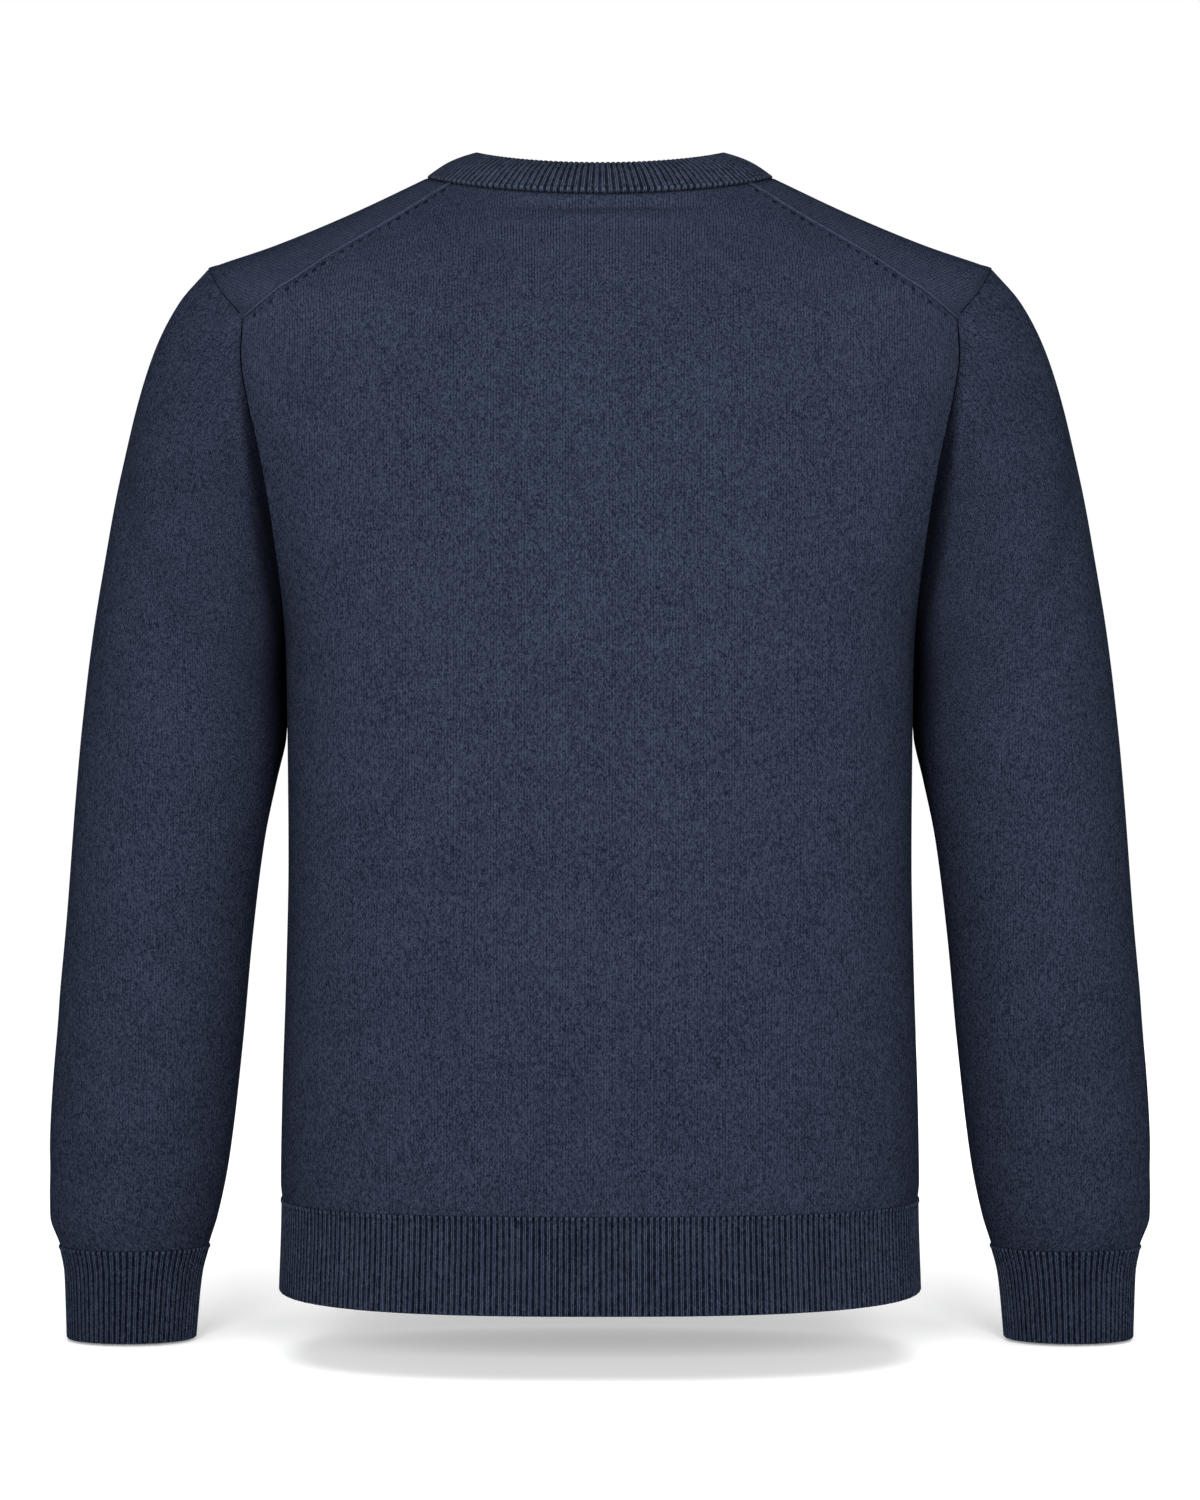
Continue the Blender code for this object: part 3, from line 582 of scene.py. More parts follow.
@dataclass(frozen=True)
class Yarn:
    """Heathered wool yarn, knitted plain or in ribs.

    The UV map counts wales across and courses up, or ribs across and courses up. The attribute "seam" gives
    the way along a seam in marks, the distance from it in millimetres, and 1 where the marks are. The
    attribute "shade_and_clear" gives how much painted shade the cloth takes where it lies deep between two
    pieces, and how clearly its wales show.

    Args:
        name: The material's name.
        stitch: How it is knitted.
        deep: Colour of its darkest fibres.
        pale: Colour of its palest fibres.
        heather: How much single stitches differ.
        mottle: How much patches of some millimetres differ.
        groove: Power of the curve across a leg of a rib. A higher one leaves wider grooves.
        relief: Height of a stitch, in metres.
        clouds: How much patches of some centimetres differ.
        fuzz: How much single fibres differ.
        painted_shade: Colour of the painted shade where the cloth lies deep between two pieces.
        shadow: How much of that painted shade's colour shows where it is deepest.
        lean: How far a stitch's legs climb from the middle of its wale, in courses.
        highlight_off: How far beyond a seam the painted highlight on the raised edge lies, in millimetres.
        highlight_wide: Half the width of that painted highlight, in millimetres.
        highlight_shade: What that painted highlight adds to the shade.
    """

    name: str
    stitch: Stitch
    deep: tuple[float, float, float]
    pale: tuple[float, float, float]
    heather: float = 0.50
    mottle: float = 0.13
    groove: float = 1.6
    relief: float = 0.0006
    clouds: float = 0.16
    fuzz: float = 1.50
    painted_shade: tuple[float, float, float] = (0.0005, 0.0006, 0.0010)
    shadow: float = 0.92
    lean: float = 0.8
    highlight_off: float = 0.9
    highlight_wide: float = 0.6
    highlight_shade: float = 0.70

    def dress(self) -> bpy.types.Material:
        """Makes the material.

        Its colour lies between the darkest and the palest fibres. The share of the pale ones is the shade of
        the stitches, plus noise of three sizes, plus the marks at a seam with their painted shadows and
        highlights.
        Over that a painted shade darkens the cloth where it lies deep between two pieces.
        """
        made, graph, shader = blank_material(self.name)
        ribbed = self.stitch is Stitch.RIB
        uv = graph.add("ShaderNodeTexCoord").outputs["UV"]
        here = graph.add("ShaderNodeTexCoord").outputs["Object"]
        parts = graph.add("ShaderNodeSeparateXYZ", Vector=uv)
        wobble = graph.noise(here, 300.0, 1.0)
        across = graph.math("MULTIPLY_ADD", wobble, 0.10 if ribbed else 0.22, parts.outputs[0])
        up = graph.math("MULTIPLY_ADD", wobble, 0.60, parts.outputs[1])
        seam, notes = graph.attribute("seam"), graph.attribute("shade_and_clear")
        if ribbed:
            loop, shade = self.rib(graph, across, up)
        else:
            loop, shade = self.plain(graph, across, up, notes.outputs[1])
        # The marks at a seam, with painted shadows and painted highlights.
        mark = self.marks(graph, seam)
        patches, clouds = graph.noise(here, 260.0, 2.0), graph.noise(here, 30.0, 2.0)
        fuzz = graph.noise(here, 1300.0, 3.0)
        for part, share in ((patches, self.mottle), (clouds, self.clouds), (fuzz, self.fuzz), (mark, 1.0)):
            shade = graph.math("MULTIPLY_ADD", part, share, shade)
        dyed = graph.mix(shade, (*self.deep, 1.0), (*self.pale, 1.0))
        # Painted shade where the cloth lies deep between two pieces: beside the body and under the neckband.
        shadowed = graph.math("MULTIPLY", notes.outputs[0], self.shadow)
        graph.put(shader.inputs["Base Color"], graph.mix(shadowed, dyed, (*self.painted_shade, 1.0)))
        height = graph.math("MULTIPLY_ADD", fuzz, 0.7, loop)
        height = graph.math("MULTIPLY_ADD", mark, 1.6, height)
        bump = graph.add("ShaderNodeBump", Height=height, Distance=self.relief, Strength=1.0)
        graph.put(shader.inputs["Normal"], bump.outputs[0])
        shader.inputs["Roughness"].default_value = 0.95
        shader.inputs["Specular IOR Level"].default_value = 0.0
        return made

    def plain(self, graph: Graph, across: Socket, up: Socket, clearness: Socket) -> tuple[Socket, Socket]:
        """Draws plain knit: wales of two leaning legs, with a value for each stitch.

        A leg's height is half a wave across it, times half a wave along each of its stitches.

        Args:
            graph: The material's graph.
            across: Place across, in wales.
            up: Place up, in courses.
            clearness: How clearly the wales show, from 0 to 1.

        Returns:
            The height and the shade.
        """
        out = graph.math("MULTIPLY", graph.from_middle(across), 2.0)
        lobes = graph.half_wave(graph.math("MULTIPLY_ADD", out, 0.8, 0.14))
        leaning = graph.math("SUBTRACT", up, graph.math("MULTIPLY", out, self.lean))
        strand = graph.half_wave(graph.math("FRACT", leaning))
        along = graph.math("MULTIPLY_ADD", strand, 0.5, 0.5)
        loop = graph.math("MULTIPLY", graph.math("POWER", lobes, 0.7), along)
        clear = graph.math("MULTIPLY_ADD", clearness, 2.4, 0.75)
        wale = graph.math("MULTIPLY", graph.math("SUBTRACT", lobes, 0.7), clear)
        shade = graph.math("MULTIPLY_ADD", loop, 0.26, graph.math("MULTIPLY_ADD", wale, 0.36, 0.18))
        single = self.single(graph, graph.math("MULTIPLY", across, 2.0), leaning)
        return loop, graph.math("MULTIPLY_ADD", single, self.heather, shade)

    def rib(self, graph: Graph, across: Socket, up: Socket) -> tuple[Socket, Socket]:
        """Draws ribs: two bright legs on each ridge, and a dark groove between ridges.

        A leg's height is a power of half a wave across it, times half a wave along each of its stitches.

        Args:
            graph: The material's graph.
            across: Place across, in ribs.
            up: Place up, in courses.

        Returns:
            The height and the shade.
        """
        out = graph.from_middle(across)
        inside = graph.math("MINIMUM", graph.math("MULTIPLY", out, 3.0), 1.0)
        legs = graph.math("POWER", graph.half_wave(inside), self.groove)
        leaning = graph.math("SUBTRACT", up, graph.math("MULTIPLY", out, 2.0))
        strand = graph.half_wave(graph.math("FRACT", leaning))
        loop = graph.math("MULTIPLY", legs, graph.math("MULTIPLY_ADD", strand, 0.3, 0.7))
        beyond = graph.math("MAXIMUM", graph.math("SUBTRACT", out, 0.24), 0.0)
        ridge = graph.math("SUBTRACT", 1.0, graph.math("MULTIPLY", beyond, 5.0))
        pale_ridge = graph.math("MULTIPLY", graph.math("MAXIMUM", ridge, 0.0), 0.10)
        shade = graph.math("MULTIPLY_ADD", loop, 0.66, pale_ridge)
        leg = graph.math("MULTIPLY", across, 2.0)
        single = self.single(graph, leg, leaning)
        whole = self.single(graph, leg, graph.math("MULTIPLY", up, 0.03))
        shade = graph.math("MULTIPLY_ADD", single, self.heather, shade)
        return loop, graph.math("MULTIPLY_ADD", whole, 0.10, shade)

    def single(self, graph: Graph, column: Socket, row: object) -> Socket:
        """Gives each cell of a grid a value of its own, from -0.5 to 0.5."""
        cell = graph.add("ShaderNodeCombineXYZ", X=graph.math("FLOOR", column), Y=graph.math("FLOOR", row))
        value = graph.add("ShaderNodeTexWhiteNoise", Vector=cell.outputs[0]).outputs["Value"]
        return graph.math("SUBTRACT", value, 0.5)

    def marks(self, graph: Graph, seam: bpy.types.Node) -> Socket:
        """Gives what the marks beside a seam add to the shade.

        On plain knit they are pulled stitches in a row at some distance from the seam, each with painted
        shadow in its pit and a painted highlight on its loop, and a painted highlight on the raised edge on
        the far side of the seam, where the distance is below 0. On ribs they are the start of each ridge,
        with a painted highlight on its loop and painted shadow below it.
        """
        way, off, strength = seam.outputs
        here = graph.math("SUBTRACT", graph.math("FRACT", way), 0.5)
        mark = 0.0
        for spot in RIB_START if self.stitch is Stitch.RIB else PULLED_STITCH:
            x = graph.math("DIVIDE", graph.math("SUBTRACT", here, spot.along), spot.wide)
            y = graph.math("DIVIDE", graph.math("SUBTRACT", off, spot.off), spot.high)
            bell = graph.math("MULTIPLY", graph.bell(x, y), strength)
            mark = graph.math("MULTIPLY_ADD", bell, spot.shade, mark)
        uneven = graph.math("ADD", self.single(graph, way, 0.0), 0.75)
        mark = graph.math("MULTIPLY", mark, uneven)
        # Painted highlight on the raised edge beyond the seam.
        from_edge_highlight = graph.math("DIVIDE", graph.math("ADD", off, self.highlight_off), self.highlight_wide)
        edge_highlight = graph.math("MULTIPLY", graph.bell(from_edge_highlight), strength)
        return graph.math("MULTIPLY_ADD", edge_highlight, self.highlight_shade, mark)


@dataclass(frozen=True)
class Horn:
    """Polished dark button, faintly streaked.

    Args:
        name: The material's name.
        deep: Its darkest colour.
        pale: Its palest colour.
        streaks: Fineness of its streaks, in streaks a metre.
        wear: Fineness of its wear, in spots a metre.
    """

    name: str = "dark_horn"
    deep: tuple[float, float, float] = (0.008, 0.010, 0.016)
    pale: tuple[float, float, float] = (0.035, 0.042, 0.062)
    streaks: float = 120.0
    wear: float = 900.0

    def dress(self) -> bpy.types.Material:
        """Makes the material."""
        made, graph, shader = blank_material(self.name)
        here = graph.add("ShaderNodeTexCoord").outputs["Object"]
        long_way = graph.add("ShaderNodeMapping", Vector=here, Scale=(1.0, 1.0, 5.0)).outputs[0]
        streak = graph.math("ADD", graph.noise(long_way, self.streaks, 4.0), 0.45)
        graph.put(shader.inputs["Base Color"], graph.mix(streak, (*self.deep, 1.0), (*self.pale, 1.0)))
        wear = graph.noise(here, self.wear, 3.0)
        graph.put(shader.inputs["Roughness"], graph.math("MULTIPLY_ADD", wear, 0.15, 0.30))
        bump = graph.add("ShaderNodeBump", Height=wear, Distance=0.00005, Strength=0.4)
        graph.put(shader.inputs["Normal"], bump.outputs[0])
        shader.inputs["Coat Weight"].default_value = 0.1
        shader.inputs["Specular IOR Level"].default_value = 0.3
        return made


@dataclass(frozen=True)
class Floor:
    """Plain pale floor.

    Args:
        name: The material's name.
        colour: Its colour.
        darker: How dark its darkest patches are, as a share of that colour.
        glow: How much light it gives off, so that the shadow on it stays soft and pale.
    """

    name: str = "pale_floor"
    colour: tuple[float, float, float] = (0.93, 0.93, 0.93)
    darker: float = 0.995
    glow: float = 0.17

    def dress(self) -> bpy.types.Material:
        """Makes the material."""
        made, graph, shader = blank_material(self.name)
        here = graph.add("ShaderNodeTexCoord").outputs["Object"]
        grain = graph.math("ADD", graph.noise(here, 3.0, 2.0), 0.5)
        deep = tuple(self.darker * c for c in self.colour)
        graph.put(shader.inputs["Base Color"], graph.mix(grain, (*deep, 1.0), (*self.colour, 1.0)))
        shader.inputs["Emission Color"].default_value = (1.0, 1.0, 1.0, 1.0)
        shader.inputs["Emission Strength"].default_value = self.glow
        shader.inputs["Roughness"].default_value = 0.9
        shader.inputs["Specular IOR Level"].default_value = 0.0
        return made


@dataclass
class Cloth:
    """A knitted piece: its right side, its wrong side and the edge between them, as one closed mesh.

    Args:
        name: The piece's name.
        node: The solid it stands for.
        right: Points of its right side, rows by columns.
        wrong: Points of its wrong side, in the same rows and columns.
        uv: Stitches across and up, with one column more than right on a tube.
        tube: Whether the columns close round.
        skip: How many rows and columns the wrong side takes at a time.
        seam: Way along a seam in marks, distance from it in millimetres and strength, at the right side.
        shade_and_clear: The painted shade where it lies deep between two pieces, and how clearly its wales
            show, both from 0 to 1.
    """

    name: str
    node: str
    right: Array
    wrong: Array
    uv: Array
    tube: bool = False
    skip: tuple[int, int] = (2, 2)
    seam: Array | None = None
    shade_and_clear: Array | None = None

    def grid(self, rows: Array, columns: Array) -> Array:
        """Makes quads between chosen rows and columns: the row and column number at each corner."""
        r, c = np.meshgrid(np.arange(len(rows) - 1), np.arange(len(columns) - 1), indexing="ij")
        steps = ((0, 0), (0, 1), (1, 1), (1, 0))
        corners = [np.stack([rows[r + a], columns[c + b]], -1) for a, b in steps]
        return np.stack(corners, -2).reshape(-1, 4, 2)

    def number(self, corners: Array, side: int) -> Array:
        """Numbers the vertices at row and column corners on side 0 or 1."""
        rows, columns = self.right.shape[:2]
        return side * rows * columns + corners[..., 0] * columns + corners[..., 1] % columns

    def rim(self, outer: Array, inner: Array, flip: bool) -> tuple[Array, Array]:
        """Joins an edge of the right side to the coarser edge of the wrong side with triangles.

        Each step of the right side's edge gets a triangle to the nearest place of the other edge, and each
        step of that one gets a triangle back to where this changes.

        Args:
            outer: Corners along the right side's edge.
            inner: Corners along the wrong side's edge, at some of the same places.
            flip: Whether the triangles turn the other way.

        Returns:
            Vertex numbers and corners of the triangles.
        """
        place, ends = outer.sum(-1), inner.sum(-1)
        count, coarse = len(outer) - 1, len(inner) - 1
        half_way = (ends[:-1] + ends[1:]) / 2
        block = np.clip(np.searchsorted(ends, place, side="right") - 1, 0, coarse - 1)[:-1]
        apex = block + ((place[:-1] + place[1:]) / 2 > half_way[block])
        changes = np.flatnonzero(np.diff(apex))
        turn_at = np.zeros(coarse, int)
        turn_at[apex[changes + 1] - 1] = changes + 1
        nearest = np.clip(np.searchsorted(place, half_way, side="left"), 0, count)
        turn_at = np.where(turn_at == 0, nearest, turn_at)
        steps = ((outer[:-1], 0), (outer[1:], 0), (inner[apex], 1))
        fans = ((inner[:-1], 1), (outer[turn_at], 0), (inner[1:], 1))
        numbers = [np.stack([self.number(at, side) for at, side in part], -1) for part in (steps, fans)]
        corners = [np.stack([at for at, _ in part], 1) for part in (steps, fans)]
        order = slice(None, None, -1 if flip else 1)
        return np.concatenate(numbers)[:, order], np.concatenate(corners)[:, order]

    def edge(
        self, fixed: int, every: Array, some: Array, along_columns: bool, flip: bool
    ) -> tuple[Array, Array]:
        """Makes the rim along one row or column.

        Args:
            fixed: The row's or the column's number.
            every: Numbers across it on the right side.
            some: Numbers across it on the wrong side.
            along_columns: Whether it is a row.
            flip: Whether its triangles turn the other way.

        Returns:
            Vertex numbers and corners of its triangles.
        """
        def corners(at: Array) -> Array:
            """Gives the row and the column number at places along the edge."""
            still = np.full(len(at), fixed)
            return np.stack([still, at] if along_columns else [at, still], -1)

        return self.rim(corners(every), corners(some), flip)

    def rims(self, rows: tuple[Array, Array], columns: tuple[Array, Array]) -> tuple[Array, Array]:
        """Makes the rims along all free edges, from every row and column and some of them."""
        parts = [self.edge(0, *columns, True, True), self.edge(rows[0][-1], *columns, True, False)]
        if not self.tube:
            parts += [self.edge(0, *rows, False, False), self.edge(columns[0][-1], *rows, False, True)]
        numbers, corners = zip(*parts)
        return np.concatenate(numbers), np.concatenate(corners)

    def build(self, finish: bpy.types.Material, slot: str, cut: tuple[float, float]) -> bpy.types.Object:
        """Args:
            finish: Its material.
            slot: Not used.
            cut: Width and length of the flat piece.
        """
        rows, columns = self.right.shape[:2]
        last = columns if self.tube else columns - 1
        every_row, every_column = np.arange(rows), np.arange(last + 1)
        some_rows = np.union1d(np.arange(0, rows, self.skip[0]), [rows - 1])
        some_columns = np.union1d(np.arange(0, last + 1, self.skip[1]), [last])
        front = self.grid(every_row, every_column)
        back = self.grid(some_rows, some_columns)[:, ::-1]
        triangles, rim_corners = self.rims((every_row, some_rows), (every_column, some_columns))
        quads = np.concatenate([self.number(front, 0), self.number(back, 1)])
        loops = np.concatenate([quads.ravel(), triangles.ravel()])
        corners = np.concatenate([part.reshape(-1, 2) for part in (front, back, rim_corners)])
        sizes = np.concatenate([np.full(len(quads), 4), np.full(len(triangles), 3)])
        points = np.concatenate([self.right.reshape(-1, 3), self.wrong.reshape(-1, 3)])
        notes = {"seam": np.zeros_like(points), "shade_and_clear": np.zeros_like(points)}
        for name, values in (("seam", self.seam), ("shade_and_clear", self.shade_and_clear)):
            if values is not None:
                notes[name][: rows * columns, : values.shape[-1]] = values.reshape(rows * columns, -1)
        made = closed_mesh(self.name, points, loops, sizes, self.uv[corners[:, 0], corners[:, 1]], notes)
        made.data.materials.append(finish)
        area = float(made["cloth_area"])
        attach(made, "root")
        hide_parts(self.node)
        LOG.info("%s: %d faces, %.3f m2 of a %.3f m2 cut", self.name, len(sizes), area, cut[0] * cut[1])
        return made


def closed_mesh(
    name: str, points: Array, loops: Array, sizes: Array, uv: Array, notes: dict[str, Array]
) -> bpy.types.Object:
    """Makes an object from vertex numbers round each face, with its faces pointing out.

    The faces all turn one way. Where the volume they enclose is below 0, they are all turned round. The
    area of one side of the cloth is noted on the object.

    Args:
        name: Its name.
        points: Vertices. Those that no face uses are dropped.
        loops: Vertex numbers, face after face.
        sizes: Number of corners of each face.
        uv: Texture place of each corner.
        notes: Three values at each vertex, for each attribute's name.
    """
    used, numbers = np.unique(loops, return_inverse=True)
    points = points[used]
    starts = np.concatenate([[0], np.cumsum(sizes)[:-1]])
    a, b = points[numbers[starts]], points[numbers[starts + 1]]
    c, d = points[numbers[starts + 2]], points[numbers[starts + sizes - 1]]
    crosses = np.cross(b - a, c - a) + np.where((sizes == 4)[:, None], np.cross(c - a, d - a), 0)
    volume = float((a * crosses).sum() / 6)
    if volume < 0:
        order = np.concatenate([np.arange(s + n - 1, s - 1, -1) for s, n in zip(starts, sizes)])
        numbers = numbers[order]
        uv = uv[order]
    mesh = bpy.data.meshes.new(name)
    mesh.vertices.add(len(points))
    mesh.vertices.foreach_set("co", points.ravel())
    mesh.loops.add(len(numbers))
    mesh.loops.foreach_set("vertex_index", numbers.astype(np.int32))
    mesh.polygons.add(len(sizes))
    mesh.polygons.foreach_set("loop_start", starts.astype(np.int32))
    mesh.polygons.foreach_set("loop_total", sizes.astype(np.int32))
    mesh.uv_layers.new(name="stitches").data.foreach_set("uv", uv.astype(np.float32).ravel())
    for attribute, values in notes.items():
        note = mesh.attributes.new(attribute, "FLOAT_VECTOR", "POINT")
        note.data.foreach_set("vector", values[used].astype(np.float32).ravel())
    mesh.update(calc_edges=True)
    mesh.validate()
    mesh.polygons.foreach_set("use_smooth", np.ones(len(mesh.polygons), bool))
    made = bpy.data.objects.new(name, mesh)
    bpy.context.scene.collection.objects.link(made)
    made["cloth_area"] = float(np.linalg.norm(crosses, axis=1).sum() / 4)
    return made


@dataclass
class Gauge:
    """Sizes of the knit.

    Args:
        wale: Width of a stitch.
        course: Height of a stitch.
        wall: Thickness of the plain cloth.
        rib_wall: Thickness of the ribs, without their relief.
        relief: From the groove of a rib to its ridge.
        seam: Half the gap that is left at a seam.
        roll: Width of the strip that rolls in along a seam.
        tuck: How deep it rolls.
        linked: How deep it rolls where ribs start.
        bead: Height of the linked edge along the shoulder.
        mark: Distance between the pulled stitches beside it.
    """

    wale: float = 0.0018
    course: float = 0.0014
    wall: float = 0.0014
    rib_wall: float = 0.0016
    relief: float = 0.0008
    seam: float = 0.00003
    roll: float = 0.0013
    tuck: float = 0.0006
    linked: float = 0.0001
    bead: float = 0.0008
    mark: float = 0.0065

    def seam_roll(self, distance: Array, tuck: float) -> Array:
        """Gives the drop of the cloth near a seam: a quarter-round over the roll's width."""
        share = np.clip(distance / self.roll, 0, 1)
        return -tuck * (1 - np.sqrt(1 - (1 - share) ** 2))

    def seam_bead(self, distance: Array) -> Array:
        """Gives the height of the linked edge: half a wave, highest 1 mm in from the edge."""
        return self.bead * np.sin(math.pi * np.clip((distance + 0.0004) / 0.0028, 0, 1))

    def rib(self, phase: Array) -> Array:
        """Gives the height of ribs: a broad rounded ridge between narrow grooves, once a phase."""
        out = np.abs(2 * (phase % 1.0) - 1)
        return self.relief * (1 - out**3)


GAUGE = Gauge()


def mirror(points: Array, side: Side) -> Array:
    """Turns the left side's points into those of a side."""
    return points * np.array([side.value, 1.0, 1.0])


@dataclass
class BodyPanel:
    """A panel of plain knit on the body, laid row by row.

    Args:
        columns: Steps across.
        creases: Its creases, across from the centre back or front and up from the hem rib.
        figure: The skins it lies on.
        gauge: Sizes of the knit.
        hem: Where the hem's ribs end.
        clear: How clearly the wales show behind the shoulder, beside elsewhere.
        neck_shade: How much painted shadow it takes along the neck seam, under the neckband.
    """

    columns: int
    creases: tuple[Crease, ...] = ()
    figure: Figure = field(default_factory=lambda: FIGURE)
    gauge: Gauge = field(default_factory=lambda: GAUGE)
    hem: float = 0.055
    clear: float = 1.0
    neck_shade: float = 0.75

    def settle(self, place: Array, across: Array, name: str, node: str, side: Side = Side.LEFT) -> Cloth:
        """Lays the cloth at places (angle, run) and shapes its edges and creases.

        The height over the skin is the roll or the bead at the nearest edge plus all creases. The wales show
        clearly up to 15 mm from the neck and shoulder seams, and ever less up to 85 mm. A painted shadow
        under the neckband darkens the cloth up to 2.6 mm from the neck seam.

        Args:
            place: Places (angle, run), rows by columns.
            across: Way round from the centre back or front, in metres.
            name: The piece's name.
            node: The solid it stands for.
            side: Which side it is laid on.
        """
        angle, run = place[..., 0], place[..., 1]
        skin, normals = self.figure.body(angle, run), self.figure.body_normals(angle, run)
        low = nearest_on(finer(skin[0]), skin)[0]
        high = nearest_on(np.concatenate([finer(line) for line in self.seams(place, skin)]), skin)[0]
        rolls = self.gauge.seam_roll(high, self.gauge.tuck), self.gauge.seam_roll(low, self.gauge.linked)
        lift = self.link(np.minimum(*rolls), place, skin)
        for crease in self.creases:
            lift = lift + crease.lift(across, run)
        right = skin + normals * lift[..., None]
        inner_lift = np.minimum(lift, 0) + np.maximum(lift, 0) * 0.9
        wrong = skin + normals * (inner_lift - self.gauge.wall)[..., None]
        wales = np.stack([across / self.gauge.wale, self.courses(place, skin) / self.gauge.course], -1)
        seam = self.seam_marks(skin)
        neck = nearest_on(finer(skin[-1]), skin)[0]
        nearer = np.minimum(neck, np.abs(seam[..., 1]) / 1000)
        clear = (1 + (self.clear - 1) * ease(-0.2, 0.35, angle)) * (1 - ease(0.015, 0.085, nearer))
        # Painted shadow under the neckband, and how clearly the wales show.
        notes = np.stack([self.neck_shade * (1 - ease(0.0006, 0.0026, neck)), clear], -1)
        return Cloth(name, node, mirror(right, side), mirror(wrong, side), wales, seam=seam, shade_and_clear=notes)

    def seams(self, place: Array, skin: Array) -> list[Array]:
        """Gives the edges along which the cloth rolls in, which leaves out the plain side seams."""
        above = place[:, -1, 1] > self.figure.underarm
        return [skin[above][:, -1], skin[-1]]

    def link(self, lift: Array, place: Array, skin: Array) -> Array:
        """Raises the cloth along a linked edge."""
        return lift

    def courses(self, place: Array, skin: Array) -> Array:
        """Gives the way up the wales in metres."""
        return place[..., 1]


@dataclass
class Back(BodyPanel):
    """The back, from side seam to side seam.

    Args:
        rows: Steps up it.
        columns: Steps across.
        creases: Its creases.
    """

    rows: int = 180
    columns: int = 168
    creases: tuple[Crease, ...] = (
        Crease((-0.058, 0.738), (0.050, 0.736), 0.011, -0.0044),
        Crease((-0.038, 0.716), (0.046, 0.713), 0.010, 0.0012),
        Crease((-0.150, 0.520), (-0.205, 0.575), 0.016, -0.0016),
        Crease((0.146, 0.500), (0.207, 0.566), 0.018, -0.0018),
        Crease((0.120, 0.440), (0.190, 0.500), 0.020, -0.0015),
        Crease((-0.196, 0.430), (-0.130, 0.380), 0.022, -0.0014),
        Crease((-0.120, 0.095), (0.030, 0.108), 0.020, -0.0012),
        Crease((0.060, 0.150), (0.180, 0.120), 0.024, -0.0014),
        Crease((-0.190, 0.210), (-0.070, 0.185), 0.024, -0.0013),
        Crease((-0.060, 0.300), (0.110, 0.315), 0.028, -0.0010),
    )

    def make(self) -> Cloth:
        """Lays rows of even height, each from the left edge of the back to the right one."""
        edge = self.edge()
        at = shares(self.columns, 0.0035)
        place = np.zeros((len(edge), len(at), 2))
        for k, (angle, run) in enumerate(edge):
            line = np.stack([np.linspace(angle, math.pi - angle, 500), np.full(500, run)], 1)
            place[k] = self.figure.evenly(line, at, self.gauge.seam)
        skin = self.figure.body(place[..., 0], place[..., 1])
        way = way_along(skin)
        return self.settle(place, way[:, -1:] / 2 - way, "back_cloth", "back_panel")

    def seam_marks(self, skin: Array) -> Array:
        """Measures how far the cloth lies from the shoulder seams, and how far along them."""
        line = self.figure.body(*self.figure.shoulder_seam().T)
        way = way_along(line)
        off, k = nearest_on(line, skin * np.where(skin[..., :1] < 0, [-1, 1, 1], 1))
        clear_of_ends = (k > 8) & (k < len(way) - 8)
        return np.stack([way[k] / self.gauge.mark, off * 1000, clear_of_ends], -1)

    def seams(self, place: Array, skin: Array) -> list[Array]:
        """Gives both armholes and shoulder seams, and the neck seam."""
        left = super().seams(place, skin)
        return [*left, left[0] * [-1, 1, 1]]

    def edge(self) -> Array:
        """Gives the left edge (angle, run): side seam, armhole and shoulder seam."""
        figure, seam = self.figure, self.gauge.seam
        low = np.linspace([0, self.hem + seam], [0, figure.underarm], 300)
        line = np.concatenate([low, figure.behind[1:], figure.shoulder_seam(seam)[1:]])
        way = way_along(figure.body(line[:, 0], line[:, 1]))
        underarm = len(low) - 1
        knots = way[[underarm, underarm + len(figure.behind) - 1]]
        beside = np.concatenate([knots - 0.001, knots, knots + 0.001])
        at = np.union1d(shares(self.rows, 0.0024) * way[-1], beside)
        return np.stack([np.interp(at, way, line[:, k]) for k in (0, 1)], 1)


